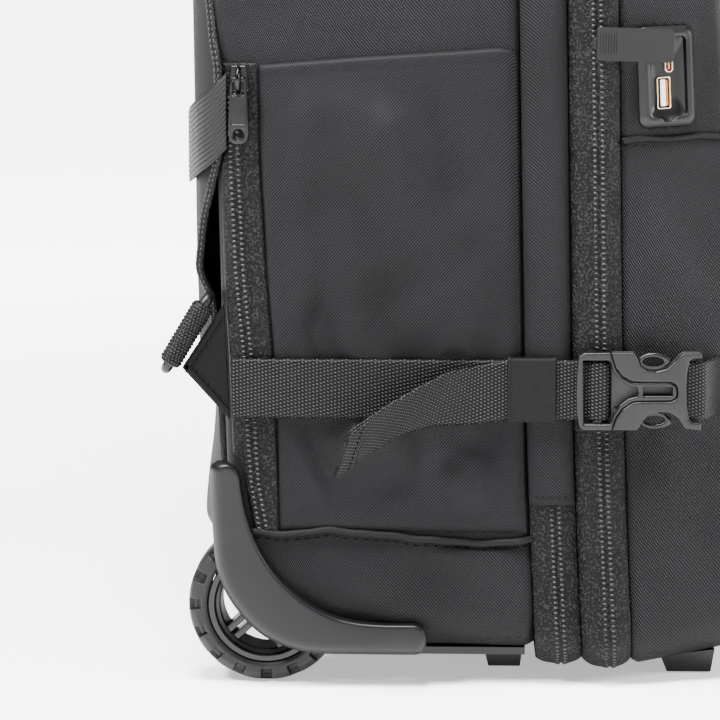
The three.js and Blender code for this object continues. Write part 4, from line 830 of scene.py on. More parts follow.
def ring_rows(seam, width, shares, rises, foot=8.0):
    """Loops across a soft ring, from one seam to the next, each raised by its share of puff."""
    rows, outs = [], []
    for share, rise in zip(shares, rises):
        ring = loop(SIDE + rise, BAG_TOP + rise, foot - rise, TOP_RADIUS + rise, FOOT_RADIUS + rise)
        x = seam + share * width + lean(ring[:, 1])
        rows.append(np.stack([x, ring[:, 0], ring[:, 1]], -1))
        outs.append(ring[:, 2:])
    return np.array(rows), np.array(outs)


def zip_ring(name, seam, width, coil_share, puff, node):
    """A puffed ring whose middle carries the coil: the rise is a flat-topped bell with a groove."""
    shares = np.linspace(0, 1, 44)
    rise = puff * (1 - np.abs(2 * shares - 1) ** 3.2) - 0.6
    place = (shares - coil_share) * width
    rise = rise + 0.45 * np.exp(-(place / 3.3) ** 4) - 0.7 * np.exp(-(place / 0.5) ** 2)
    rows, outs = ring_rows(seam, width, shares, rise)
    soft = ripples(rows[..., 2] * 0.7, rows[..., 1] * 0.7 + rows[..., 0] * 0.3, int(seam), 46, 0.22)
    soft *= (1 - np.abs(2 * shares - 1) ** 4)[:, None]
    rows = pushed(rows, outs, soft)
    inner = ring_rows(seam, width, (1, 0.5, 0), (-3.0, -3.0, -3.0))[0]
    piece = surface(name, np.vstack([rows, inner]), tape, around=True, closed=True)
    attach(piece, "bag")
    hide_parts(node)


def ring_coil(name, seam, width, coil_share, level, keep=None):
    """Two staggered rows of coil bars round the loop, beside a dark middle line."""
    bars, alongs, outs = [], [], []
    for offset, shift in ((-1.6, 0), (1.6, 0.5)):
        ring = loop(SIDE + level, BAG_TOP + level, 8 - level, TOP_RADIUS + level,
                    FOOT_RADIUS + level, 2880)
        length = np.linalg.norm(np.diff(ring[:, :2], axis=0), axis=1).mean()
        first, step = int(shift * coil_pitch / length), max(1, round(coil_pitch / length))
        ring = ring[first::step]
        centre = np.stack([seam + coil_share * width + offset + lean(ring[:, 1]), ring[:, 0],
                           ring[:, 1]], -1)
        bars.append(centre)
        outs.append(np.stack([np.zeros(len(ring)), ring[:, 2], ring[:, 3]], -1))
        alongs.append(np.broadcast_to((1.0, 0, 0), centre.shape))
    bars, alongs, outs = (np.concatenate(part) for part in (bars, alongs, outs))
    if keep is not None:
        chosen = keep(bars)
        bars, alongs, outs = bars[chosen], alongs[chosen], outs[chosen]
    piece = studs(name, bars, alongs, outs, (2.15, 1.2, 0.8), coil, around=6)
    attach(piece, "bag")


main_width = FRONT_SEAM - ZIP_SEAM - 0.3
zip_ring("main_zip_tape", ZIP_SEAM + 0.15, main_width, 0.565, 3.9, "main_zip_band")
ring_coil("main_zip_coil", ZIP_SEAM + 0.15, main_width, 0.565, 3.25)
gusset_width = ZIP_SEAM - EXPANSION_SEAM - 0.3
zip_ring("expansion_zip_tape", EXPANSION_SEAM + 0.15, gusset_width, 0.56, 2.4, "expansion_band")
ring_coil("expansion_zip_coil", EXPANSION_SEAM + 0.15, gusset_width, 0.56, 1.85,
          keep=lambda bars: bars[:, 2] < 80)


def expansion_flap():
    """A sheet over the gusset's ring, cut off at a hem: the rise is a flat-topped bell.

    The hem is a bead and a groove across both side walls, with a row of stitches in the groove."""
    shares = np.linspace(0, 1, 30)
    rise = 3.6 * (1 - np.abs(2 * shares - 1) ** 3.0) + 0.1
    rows, outs = ring_rows(EXPANSION_SEAM + 0.15, gusset_width, shares, rise)
    z = rows[..., 2]
    soft = ripples(z * 0.8, rows[..., 1] * 0.8, 12, 70, 0.35)
    hem = 0.5 * bell(z, 80.8, 1.4) - 0.45 * bell(z, 83.6, 0.6) - 3.0 * (1 - ease(z, 78.4, 79.6))
    rows = pushed(rows, outs, soft * (1 - np.abs(2 * shares - 1) ** 4)[:, None]
                  + np.where(np.abs(outs[..., 0]) > 0.5, hem, 0))
    upper = rows[0, :, 2] > 78.6
    first = np.flatnonzero(upper & ~np.roll(upper, 1))[0]
    order = (first + np.arange(upper.sum())) % AROUND
    piece = surface("expansion_flap_cloth", rows[:, order], canvas)
    solid = piece.modifiers.new("cloth", "SOLIDIFY")
    solid.thickness = 0.0012
    solid.offset = -1
    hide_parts("expansion_flap")
    pieces = [piece]
    for side, word in ((-1, "left"), (1, "right")):
        depth = np.linspace(EXPANSION_SEAM + 2, ZIP_SEAM - 2, 24) + lean(83.6)
        swell = 3.6 * (1 - np.abs(2 * np.linspace(0.1, 0.9, 24) - 1) ** 3.0)
        path = np.stack([depth, side * (SIDE + swell - 0.1), np.full(24, 83.4)], -1)
        centres, along = spaced(path, 3.2)
        pieces.append(studs(f"flap_hem_stitches_{word}", centres, along, (0, side, 0),
                            (2.2, 0.7, 0.5), thread))
    for made in pieces:
        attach(made, "bag")


expansion_flap()

# Front compartment
# The shallow front part, of the same canvas: its walls draw in towards the face, a piped seam runs
# across it below the charging port, and the face bulges under its load.
FRONT_FOOT = 237.6


def front_edge(z):
    """Depth of the front edge: upright near the foot, then a straight slope back to the top."""
    return FRONT_FOOT - 0.095 * np.maximum(0, z - 100)


def front_ring(inset, foot):
    """The bag's loop drawn in by an inset, its top corners never tighter than its foot's."""
    return loop(SIDE - inset, BAG_TOP - inset, foot, max(TOP_RADIUS - inset, FOOT_RADIUS),
                FOOT_RADIUS)


# Stations of the side wall from the front seam to its front edge, then round to the face, which
# shrinks to its middle
front_rows, front_outs, front_share = [], [], []
for share in np.linspace(0, 1, 46):
    inset = 17 * share
    ring = front_ring(inset, 6 + 6 * share)
    x = FRONT_SEAM + 0.15 + lean(ring[:, 1])
    x = x + (front_edge(ring[:, 1]) - x) * share + 0.9 * ease(share, 0.9, 1)
    front_rows.append(np.stack([x, ring[:, 0], ring[:, 1]], -1))
    front_outs.append(ring[:, 2:])
    front_share.append(share)
for turn in np.linspace(8, 90, 16):
    angle = np.radians(turn)
    inset = 17 + 32 * (1 - np.cos(angle)) ** 0.9
    bulge = 0.9 + 7.4 * np.sin(angle) ** 0.8
    ring = front_ring(inset, 12 + 22 * (1 - np.cos(angle)))
    front_rows.append(np.stack([front_edge(ring[:, 1]) + bulge, ring[:, 0], ring[:, 1]], -1))
    front_outs.append(ring[:, 2:] * np.cos(angle))
    front_share.append(1 + turn / 90)
front_rows, front_outs = np.array(front_rows), np.array(front_outs)
front_share = np.array(front_share)[:, None]
face_middle = np.array([front_edge(270.0) + 8.6, 0, 270.0])
face_share = np.linspace(0.97, 0.05, 26)
face = capped(front_rows[-1], face_middle, face_share)
face[..., 0] = front_edge(face[..., 2]) + 8.3 + 0.7 * (1 - face_share ** 2)[:, None]
x, y, z = front_rows[..., 0], front_rows[..., 1], front_rows[..., 2]
on_wall = ease(np.abs(front_outs[..., 0]), 0.6, 0.9)
below_seam = 1 - ease(z, 232, 238)
middle = ease(front_share, 0.02, 0.35) * (1 - ease(front_share, 1.2, 1.9))
front_folds = (  # side wall folds below the piped seam: depth, height, width and rise
    (188, 212, 214, 168, 10, 1.6),
    (190, 96, 222, 30, 13, 1.9),
    (196, 118, 236, 96, 8, -1.6),
    (188, 150, 206, 128, 7, -1.3),
    (206, 222, 228, 214, 7, -1.1),
    (214, 80, 232, 44, 9, -1.2),
)
swell = below_seam * 3.0 * bell(z, 120, 80) * ease(front_share, 0, 0.4)
creased = 1.5 * below_seam * sum(fold(x, z, *line) for line in front_folds)
swell = swell + creased * ease(front_share, 0, 0.2)
swell = swell + ripples(x, z + y * 0.4, 44, 52, 0.6) * below_seam * middle
swell = swell + ripples(x, z, 31, 60, 0.25) * middle * (1 - below_seam)
swell = swell - 1.1 * bell(z, 237, 1.6)
swell = swell * on_wall + (1 - on_wall) * ripples(x, y, 9, 80, 0.6) * middle
swell = swell - 1.8 * (1 - ease(front_share, 0, 0.09)) ** 2
front_rows = pushed(front_rows, front_outs, swell)
face_soft = ripples(face[..., 1], face[..., 2], 77, 110, 1.0) - 1.2 * bell(face[..., 2], 237, 1.8)
face[..., 0] += face_soft * ease(face_share, 1.0, 0.8)[:, None]

# The charging port's frame on the wall: its face's directions out, along and up, and its middle.
# The wall is flat about it and sunk behind it.
PORT_OUT = np.array([0.3796367, -0.9248867, 0.0214614])
PORT_ALONG = np.array([0.9238678, 0.3802285, 0.0435271])
PORT_UP = np.array([-0.0484179, 0.0033030, 0.9988217])
PORT_PIVOT = np.array([84.08254 + DEPTH_MIDDLE, -159.20321, 275.11877])
PORT_CENTRE = PORT_PIVOT + 0.8 * PORT_ALONG - 12.8 * PORT_UP - 2.6 * PORT_OUT
port_place = np.eye(4)
port_place[:3, :3] = np.stack([PORT_ALONG, PORT_UP, PORT_OUT], -1)
port_place[:3, 3] = PORT_CENTRE
offset = front_rows - PORT_CENTRE
port_u, port_v = offset @ PORT_ALONG, offset @ PORT_UP
sunk = (1 - ease(np.abs(port_u), 9.6, 12.0)) * (1 - ease(np.abs(port_v), 17.8, 20.0))
sunk = sunk * (front_rows[..., 1] < 0)
flat = (1 - ease(np.abs(port_u), 14, 17)) * (1 - ease(np.abs(port_v), 22, 26)) * (y < 0)
rise = offset @ PORT_OUT
front_rows = front_rows - (flat * (rise + 0.6))[..., None] * PORT_OUT
front_rows = front_rows - (sunk * 7.5)[..., None] * PORT_OUT
seam_rows = capped(front_rows[0], np.array([FRONT_SEAM + 0.4, 0, 260.0]), (0.2, 0.6, 0.97))
front_compartment = surface("front_compartment_cloth", np.vstack([seam_rows, front_rows, face]),
                            canvas, around=True, poles=(True, True))
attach(front_compartment, "bag")
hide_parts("front_compartment")


def front_line(z, count=150, lift=0.0):
    """A line round the front at one height: along the left wall, across the face and back."""
    share = np.linspace(0.015, 1, count // 3)
    seam = FRONT_SEAM + 0.15 + lean(z)
    wall_x = seam + (front_edge(z) - seam) * share + 0.9 * ease(share, 0.9, 1)
    wall_y = -(SIDE - 17 * share)
    angle = np.radians(np.linspace(4, 90, 20))
    round_x = front_edge(z) + 0.9 + 7.4 * np.sin(angle) ** 0.8
    round_y = -(SIDE - 17 - 32 * (1 - np.cos(angle)) ** 0.9)
    face_y = np.linspace(round_y[-1], 0, 20)[1:]
    face_x = np.full(len(face_y), round_x[-1]) + 0.4 * (1 - (face_y / round_y[-1]) ** 2)
    half_x = np.concatenate([wall_x, round_x, face_x])
    half_y = np.concatenate([wall_y, round_y, face_y])
    x_all = np.concatenate([half_x, half_x[-2::-1]])
    y_all = np.concatenate([half_y, -half_y[-2::-1]])
    run = np.gradient(np.stack([x_all, y_all], -1), axis=0)
    out = np.stack([run[:, 1], -run[:, 0]], -1)
    out /= np.linalg.norm(out, axis=1)[:, None]
    places = np.stack([x_all + out[:, 0] * lift, y_all + out[:, 1] * lift,
                       np.full(len(x_all), z)], -1)
    return places, np.hstack([out, np.zeros((len(out), 1))])


pipe_path, pipe_out = front_line(236.6, lift=0.1)
pipe_path[:, 2] += 0.5 * np.sin(np.arange(len(pipe_path)) / 5) - 1.2 * (1 - ease(
    np.arange(len(pipe_path)), 0, 25)) - 1.2 * ease(np.arange(len(pipe_path)),
                                                    len(pipe_path) - 25, len(pipe_path))
front_piping = sweep("front_piping", pipe_path, round_profile(1.35, 12), pipe_out, canvas)
stitch_path, stitch_out = front_line(233.3, lift=-0.1)
centres, along = spaced(stitch_path, 4.2)
nearest = np.abs(centres[:, None, :2] - stitch_path[None, :, :2]).sum(-1).argmin(1)
front_stitches = studs("front_piping_stitches", centres, along, stitch_out[nearest],
                       (2.9, 0.7, 0.55), thread)
for piece in (front_piping, front_stitches):
    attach(piece, "bag")

# Charging port
# A moulded bezel screwed through the side wall, with a broad chamfer, a sunk well for two sockets
# and a finger notch at its foot. A rubber cover swings on a peg at the top.
SOCKET_FLOOR = -0.5


def port_points(flat):
    """Millimetres along, up and out of the port's face, as the bag's millimetres."""
    return np.asarray(flat) @ port_place[:3, :3].T + PORT_CENTRE


def box_outline(half_u, half_v, corner, middle=(0, 0), count=160):
    """A rounded rectangle as an evenly stepped outline, from the loop of the bag's body."""
    ring = loop(half_u, middle[1] + half_v, middle[1] - half_v, corner, corner, count)
    return ring[:, :2] + (middle[0], 0)


def lofted(name, outlines, levels, material):
    """Outlines of equal counts at levels out of the port's face, joined in order and closed."""
    rows = [port_points(np.hstack([outline, np.full((len(outline), 1), level)]))
            for outline, level in zip(outlines, levels)]
    return surface(name, np.array(rows), material, around=True, poles=(True, True))


# Satin black moulded nylon: a fine spark texture that breaks up the light
moulded = plain("satin black moulded nylon", "060607", 0.4, relief=0.02, grain=0.25, tint=0.1,
                Specular_IOR_Level=0.25)
well = box_outline(8.5, 16.75, 1.9)
notch = bell(well[:, 0], -0.6, 3.2) * (well[:, 1] < -16)
well_notched = well - np.stack([0 * notch, 2.6 * notch], -1)
sizes = ((12.6, 20.6, 3.2), (13.25, 21.25, 4), (13.25, 21.25, 4), (13.0, 21.0, 3.8),
         (11.1, 19.1, 2.6), (10.8, 18.8, 2.4))
rims = [box_outline(*size) for size in sizes]
inner_lip = [well_notched * 1.015, well_notched, well_notched * 0.995, well, well * 0.99]
bezel = lofted("port_bezel_moulding", rims + inner_lip + [well * 0.5],
               (-2.9, -0.4, 0.0, 0.35, 2.45, 2.6, 2.6, 2.4, 1.4, 0.1, -0.2, -0.2), moulded)
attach(bezel, "bag")
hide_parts("port_bezel")

# Nickel-plated steel shells with a warm cast, an ivory and an orange insulator, and copper pins
shell_steel = plain("nickel plated socket shell", "C9B29A", 0.3, metallic=1.0)
ivory = plain("ivory insulator", "D9D6CC", 0.4)
orange = plain("orange insulator", "C8421C", 0.45)
pin_copper = plain("copper contacts", "B5672F", 0.32, metallic=1.0)
# Near-black painted shade for the socket's inner ends and the buckle's back plate, where the
# recesses lie in shadow
recess_shade = plain("painted recess shade", "030303", 0.6)
for name, half_u, half_v, corner, middle in (("usb_a_socket", 3.2, 6.8, 0.9, (-1.6, -6.8)),
                                             ("usb_c_socket", 1.9, 4.5, 1.6, (1.2, 6.2))):
    outer = box_outline(half_u, half_v, corner, middle, 80)
    mouth = box_outline(half_u - 0.55, half_v - 0.55, max(0.4, corner - 0.5), middle, 80)
    shell = lofted(f"{name}_shell", [outer, outer, outer * 0.98 + 0.02 * np.array(middle),
                                     mouth, mouth, mouth],
                   (SOCKET_FLOOR, 0.35, 0.5, 0.5, 0.35, -0.35), shell_steel)
    shell.data.materials.append(recess_shade)
    finish = np.zeros(len(shell.data.polygons), np.int32)
    # The fans at the shell's two ends take the near-black painted shade of the socket's recess
    finish[-2 * len(outer):] = 1  # the fans that close the shell's two ends come last
    shell.data.polygons.foreach_set("material_index", finish)
    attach(shell, "bag")
    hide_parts(name)
tongue = plate("usb_a_tongue", [box_outline(1.15, 5.6, 0.3, (-1.9, -6.8), 60)], -0.2, 0.35, 0.15,
               ivory, place=port_place)
small_tongue = plate("usb_c_tongue", [box_outline(0.45, 3.3, 0.3, (1.2, 6.2), 60)], -0.2, 0.35,
                     0.12, orange, place=port_place)
pins = plate("usb_a_contacts", [box_outline(0.5, 5.4, 0.2, (-0.05, -6.8), 60)], -0.25, 0.1, 0.1,
             pin_copper, place=port_place)
for piece in (tongue, small_tongue, pins):
    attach(piece, "bag")

# The cover hangs open: its own frame turns about the peg by an angle in the port's face
cover_turn = np.radians(-4.6)
cover_place = port_place.copy()
cover_place[:3, 0] = PORT_ALONG * np.cos(cover_turn) + PORT_UP * np.sin(cover_turn)
cover_place[:3, 1] = PORT_UP * np.cos(cover_turn) - PORT_ALONG * np.sin(cover_turn)
cover_place[:3, 3] = PORT_CENTRE - 0.8 * PORT_ALONG + 12.8 * PORT_UP
# Soft silicone rubber: matt, dark grey
silicone = plain("matt silicone rubber", "0A0A0B", 0.6, relief=0.02, grain=0.3, tint=0.08,
                 Specular_IOR_Level=0.2)
flap_outline = box_outline(17.75, 7.0, 1.7, (-15.15, 0))
lid = plate("port_lid", [flap_outline], 2.9, 4.9, 0.35, silicone, place=cover_place)
grip_tab = plate("port_lid_tab", [box_outline(1.6, 2.6, 1.5, (-32.9, 0), 60)], 2.9, 4.3, 0.3,
                 silicone, place=cover_place)
peg = plate("port_lid_peg", [oval(0, 0, 1.5, 1.5, 24)], -0.3, 3.2, 0.2, silicone,
            place=cover_place)
ribs = [plate("port_lid_rib", [box_outline(0.36, 4.3, 0.3, (-31.2 + 1.25 * i, 0.4), 30)],
              4.7, 5.12, 0.15, silicone, place=cover_place) for i in range(7)]
port_lid = fuse("port_lid_rubber", [lid, grip_tab, peg, *ribs])
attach(port_lid, "port_flap")
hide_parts("port_cover")

# Compression straps
# One inch polyester webbing on each side: sewn in beside the side zip, through an elastic keeper,
# round the bar of the buckle and back, with a hemmed tail that curls away from the pocket.
STRAP_Z, STRAP_HALF = 130.2, 12.7
# Distances out from the bag's middle: each layer, over the bar, and the front strap's start
LOWER, UPPER, OVER_BAR, BAR_LEVEL = 169.5, 171.2, 173.7, 171.6
BUCKLE_X = 164.0


def smooth_path(points, count, passes=2):
    """A path resampled at even steps and softened by averaging each point with its neighbours."""
    path = np.asarray(points, float)
    gone = np.concatenate([[0], np.cumsum(np.linalg.norm(np.diff(path, axis=0), axis=1))])
    at = np.linspace(0, gone[-1], count)
    path = np.stack([np.interp(at, gone, column) for column in path.T], -1)
    for _ in range(passes):
        middle = (path[:-2] + 2 * path[1:-1] + path[2:]) / 4
        path = np.vstack([path[:1], middle, path[-1:]])
    return path


def band_surface(name, low, high, normal, thickness, material, columns=25):
    """A webbing strip between two edge paths, with selvedges: a flat slab with rounded sides.

    normal gives the direction out of each station; the map runs across, then along."""
    share = np.linspace(0, 1, columns)
    half = thickness / 2 * (1 - np.abs(2 * share - 1) ** 10) ** 0.5
    half = half * (1 + 0.25 * np.exp(-((np.minimum(share, 1 - share) - 0.05) / 0.03) ** 2))
    profile_share = np.concatenate([share, share[-2:0:-1]])
    profile_lift = np.concatenate([half, -half[-2:0:-1]])
    grid = (low[:, None] + (high - low)[:, None] * profile_share[None, :, None]
            + normal[:, None] * profile_lift[None, :, None])
    return surface(name, grid, material, around=True, poles=(True, True))


# Polyester webbing, black: thick floats in staggered columns, each with a grey painted highlight,
# and near-black painted shade between them
webbing = woven("polyester webbing", "373739", "010101", (1.5, 3.1), 0.5, 0.5, slant=0.5,
                edge=(0.25, 0.8), cloud=0.15)
# Depth, distance out, drop below the strap's line and twist: under the keeper, round the bar and
# back over itself to the free tail. The twist only spreads the stations along the tail.
run_points = [(17.8, LOWER - 0.9, 0, 0), (26, LOWER, 0, 0), (134.8, LOWER, 0, 0),
              (158, LOWER, 0, 0), (170, LOWER - 0.2, 0, 0), (175.2, LOWER + 0.1, 0, 0),
              (177.3, LOWER + 1.0, 0, 0), (177.7, 171.6, 0, 0), (177.3, OVER_BAR - 0.7, 0, 0),
              (175.8, OVER_BAR + 0.1, 0, 0), (173.4, OVER_BAR + 0.3, 0, 0),
              (171.2, OVER_BAR, 0, 0), (169, UPPER + 0.5, 0, 0), (166, UPPER, 0, 0),
              (155.8, UPPER, 0, 0), (134.8, UPPER, 0, 0)]
tail_points = [(121, UPPER + 1.3, 2, 0.3), (107, UPPER + 6.2, 3.0, 1.6), (94, UPPER + 13, 7.2, 3),
               (80.5, UPPER + 18.7, 14.4, 4.0), (65.5, UPPER + 21.6, 24.3, 5.0)]
for side, word in ((-1, "left"), (1, "right")):
    path = smooth_path(run_points + tail_points, 420, 3)
    tail = ease(130 - path[:, 0], 0, 40) * (np.arange(420) > 250)
    half = STRAP_HALF * (1 - 0.06 * tail)
    centre = np.stack([path[:, 0], side * path[:, 1], STRAP_Z - path[:, 2]], -1)
    run = np.gradient(centre, axis=0)
    run /= np.linalg.norm(run, axis=1)[:, None]
    up = np.array([0, 0, 1.0]) + tail[:, None] * np.array([0.34, side * 0.34, 0])
    up = up / np.linalg.norm(up, axis=1)[:, None]
    normal = np.cross(run, up)
    normal /= np.linalg.norm(normal, axis=1)[:, None]
    strap = band_surface(f"compression_webbing_{word}", centre - up * half[:, None],
                         centre + up * half[:, None], normal, 1.35, webbing)
    end, end_run, end_up, end_normal = centre[-1], run[-1], up[-1], normal[-1]
    hem_run = np.linspace(0, 1, 14)[:, None]
    outward = end_normal if end_normal[1] * side > 0 else -end_normal
    hem_centre = end - end_run * (9 * (1 - hem_run)) + outward * 1.45
    hem = band_surface(f"strap_hem_{word}", hem_centre - end_up * 11.7,
                       hem_centre + end_up * 11.7, np.repeat(end_normal[None], 14, 0), 1.3, webbing)
    stitch_at = np.linspace(-10.2, 10.2, 9)[:, None] * end_up + end - end_run * 6.2 + outward * 2.1
    sewn = studs(f"strap_hem_stitches_{word}", stitch_at, end_up, outward, (1.7, 0.8, 0.5), thread)
    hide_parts(f"compression_strap_{word}")
    for piece in (strap, hem, sewn):
        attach(piece, "bag")

# Strap keepers
# A sleeve of knitted elastic round both layers of each strap, with a seam across it and a piped
# edge at each end.
# Knitted elastic: finer and duller than the webbing, with ribs along its length; its floats a
# little lighter as a painted highlight and its gaps darker as painted shade
elastic = woven("knitted elastic", "0D0D0E", "030303", (1.3, 1.0), 0.12, 0.6, edge=(-0.7, 0.9))
for side, word in ((-1, "left"), (1, "right")):
    along = np.linspace(134.8, 155.8, 60)
    swell = 0.55 * bell(along, 135.6, 0.8) + 0.55 * bell(along, 155.0, 0.8) - 0.25
    swell -= 0.5 * (ease(135.2 - along, 0, 0.6) + ease(along - 155.4, 0, 0.6))
    ring = loop(13.9, 173.1, 167.7, 1.3, 1.3, 200)
    seam = 0.22 * bell(ring[:, 0], -7.5, 0.5) * (ring[:, 1] > 172)
    points = np.stack([np.broadcast_to(along[:, None], (60, 200)),
                       side * (ring[None, :, 1] + ring[None, :, 3] * swell[:, None] - seam),
                       STRAP_Z + ring[None, :, 0] + ring[None, :, 2] * swell[:, None]], -1)
    keeper = surface(f"strap_keeper_elastic_{word}", points, elastic, around=True)
    wall = keeper.modifiers.new("sleeve", "SOLIDIFY")
    wall.thickness = 0.0005
    wall.offset = -1
    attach(keeper, "bag")
    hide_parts(f"strap_keeper_{word}")

# Buckles
# Side-release buckles of glass-filled nylon. The male half is a frame with a bar, a tongue with a
# slot and two sprung prongs, and the female half a flat case with two scooped windows.
# Glass-filled nylon: satin mid grey with a fine even grain
buckle_nylon = plain("glass filled nylon", "0A0A0B", 0.34, relief=0.02, grain=0.22, tint=0.06,
                     Specular_IOR_Level=0.25)
# Outlines in millimetres along and up from the buckle's end: where the two halves meet, the male
# half's frame and its opening, and the female half's scooped edge
GROOVE = [(14.3, 16.6), (15.2, 13.6), (16.2, 10.2), (19.2, 6.3), (23.6, 4.0), (28, 3.75),
          (40, 3.75), (42.0, 2.6), (42.6, 0), (42.0, -2.6), (40, -3.75), (28, -3.9), (24, -4.1),
          (19.4, -7.2), (16.6, -11.3), (15.6, -14.5), (15.0, -16.6)]
FRAME = [(3, -16.6), (1.4, -15.2), (0.3, -9), (0, 0), (0.2, 8), (0.8, 14.6), (3, 16.4)]
OPENING = [(2.8, 13.2), (13.9, 13.2), (14.9, 11.6), (15.6, 8.8), (18.5, 4.9), (22, 2.7),
           (25.6, 1.9), (26.2, 0), (25.6, -2.0), (22, -2.9), (18.3, -5.8), (15.9, -9.8),
           (14.9, -13.2), (14, -14.0), (3.3, -14.0), (2.9, 0)]
CASE = [(24.3, 16.5), (25.3, 14.8), (26.7, 11.7), (30.2, 9.3), (33.7, 8.7), (38, 9.8), (41.5, 13),
        (43.7, 15.6), (45.2, 16.5), (52.6, 16.5), (52.8, 14.4), (49.3, 14.2), (47.6, 13.2),
        (46.5, 7.8), (46.3, 1.7), (46.6, -5.2), (47.6, -11.3), (49.2, -12.9), (52.8, -13.2),
        (52.6, -16.4), (45.9, -15.6), (43.3, -11.3), (39.3, -8.9), (35, -8.7), (31.1, -9.8),
        (28, -12.6), (26.7, -15.4), (25.4, -16.5)]


def grown(outline, amount):
    """An outline moved out by an amount, along the normal of each of its points."""
    outline = np.asarray(outline, float)
    run = np.roll(outline, -1, 0) - np.roll(outline, 1, 0)
    out = np.stack([run[:, 1], -run[:, 0]], -1) / np.linalg.norm(run, axis=1)[:, None]
    area = (outline[:, 0] * np.roll(outline[:, 1], -1) - np.roll(outline[:, 0], -1)
            * outline[:, 1]).sum()
    return outline + np.sign(area) * amount * out


def at_buckle(outline):
    """An outline moved from the buckle's own place to its depth and height on the bag."""
    return np.asarray(outline, float) + (BUCKLE_X, STRAP_Z)


for side, word in ((-1, "left"), (1, "right")):
    slot_hole = traced([(28.3, 2.0), (40.6, 2.0), (40.6, -1.7), (28.3, -1.7)], 0.5, 0.15)
    male_outline = traced(FRAME + GROOVE, 0.9, 0.2)
    male = plate("male", [at_buckle(male_outline), at_buckle(traced(OPENING, 0.7, 0.2)),
                          at_buckle(slot_hole)], 172.1, 175.0, 0.75, buckle_nylon, side)
    rails = [plate("rail", [at_buckle(traced([(2.4, z - 1.4), (2.4, z + 1.4), (14, z + 1.4),
                                              (14, z - 1.4)], 0.6))], 169.0, 174.2, 0.6,
                   buckle_nylon, side) for z in (14.9, -15.2)]
    bar = plate("bar", [at_buckle(traced([(7.2, -14), (7.2, 14), (11.2, 14), (11.2, -14)], 0.5))],
                170.5, 172.7, 0.6, buckle_nylon, side)
    rings = []
    for u, v, reach in ((32.5, 13.1, 1), (33.2, -12.6, -1)):
        ring = oval(u, v, 6.4, 3.4, 60)
        ring[:, 0] += 0.9 * bell(ring[:, 0], u + 6.4, 2.2)
        rings.append(plate("prong", [at_buckle(ring), at_buckle(oval(u - 0.1, v - 0.6 * reach, 4.3,
                                                                     1.95, 48))],
                           170.6, 173.7, 1.05, buckle_nylon, side))
        rings.append(plate("arm", [at_buckle(traced([(16, v - reach * 2.6), (16, v - reach * 5.2),
                                                     (29, v - reach * 3.6), (29, v - reach * 1.4)],
                                                    0.6))], 170.6, 172.6, 0.5, buckle_nylon, side))
    male = fuse(f"buckle_male_nylon_{word}", [male, *rails, bar, *rings])
    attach(male, "bag")
    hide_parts(f"buckle_male_{word}")
    groove = grown(traced(GROOVE + [(10, -16.6), (10, 16.6)], 0.9, 0.2), 0.38)
    groove = groove[(groove[:, 0] > 14.9) & (np.abs(groove[:, 1]) < 15.8)]
    groove = groove[::-1] if groove[0, 1] > groove[-1, 1] else groove
    case_ring = np.vstack([groove, (14.8, 16.5), CASE, (15.5, -16.5)])
    case = plate("case", [at_buckle(traced(case_ring, 0.45, 0.2))], 171.0, 175.0, 0.7,
                 buckle_nylon, side)
    # The female half's back wall, near-black as painted shade in the deep recess behind its windows
    back = plate("back", [at_buckle(traced([(14.9, 16.4)] + CASE + [(14.9, -16.4)], 0.6, 0.3))],
                 168.9, 170.0, 0.3, recess_shade, side)
    female = fuse(f"buckle_female_nylon_{word}", [case])
    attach(female, "bag")
    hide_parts(f"buckle_female_{word}")
    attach(back, "bag")

# Front strap
# The same webbing, sewn to each buckle's female half and laid round the face of the bag.
strap_edges = []
for height in (STRAP_Z - STRAP_HALF, STRAP_Z + STRAP_HALF):
    path, out = front_line(height, 300, 2.0)
    left = (path[:, 0] > 226) | (np.abs(path[:, 1]) < 120)
    path, out = path[left], out[left]
    start = np.array([(209.6, -BAR_LEVEL, height), (213, -BAR_LEVEL, height),
                      (219, -169.2, height)])
    start_out = np.array([(0, -1.0, 0), (0, -1.0, 0), (0.3, -0.95, 0)])
    mirror = np.array([1, -1, 1.0])
    path = np.vstack([start, path, (start * mirror)[::-1]])
    out = np.vstack([start_out, out, (start_out * mirror)[::-1]])
    strap_edges.append((smooth_path(path, 420, 8), smooth_path(out, 420, 8)))
(low_edge, low_out), (high_edge, _) = strap_edges
front_strap = band_surface("front_webbing", low_edge, high_edge, low_out, 1.35, webbing)
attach(front_strap, "bag")
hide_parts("front_strap")

# Corner guards
# A thick moulded boot on each lower rear corner, screwed through the side wall: a smooth band with
# a crisp inner edge, and an outer edge that rounds away towards the wheel.
# Depths and heights along the guard's two edges, from its top end round to its foot
INNER_EDGE = np.array([(20.9, 90.5), (21.4, 85.5), (23.1, 76.2), (25.6, 67.7), (29.7, 58.3),
                       (35.8, 49), (41.9, 42.8), (47.9, 37.8), (55.6, 33.1), (63.3, 30),
                       (71.7, 28.3), (82.4, 27.6), (94.8, 27.7)])
OUTER_EDGE = np.array([(7.8, 93.2), (7.9, 84.6), (8.5, 73), (9.2, 61.3), (9.9, 53.5), (11.8, 45.7),
                       (15.5, 37.9), (20.1, 31.7), (24.7, 26.2), (30.8, 21.2), (38.5, 17.3),
                       (46.2, 15), (55.5, 13.9), (78.6, 13.8), (95.4, 13.8)])
# Injection moulded boot: satin dark grey, with a faint orange peel
boot = plain("satin moulded boot", "09090B", 0.4, relief=0.015, grain=0.35, tint=0.05,
             Specular_IOR_Level=0.2)


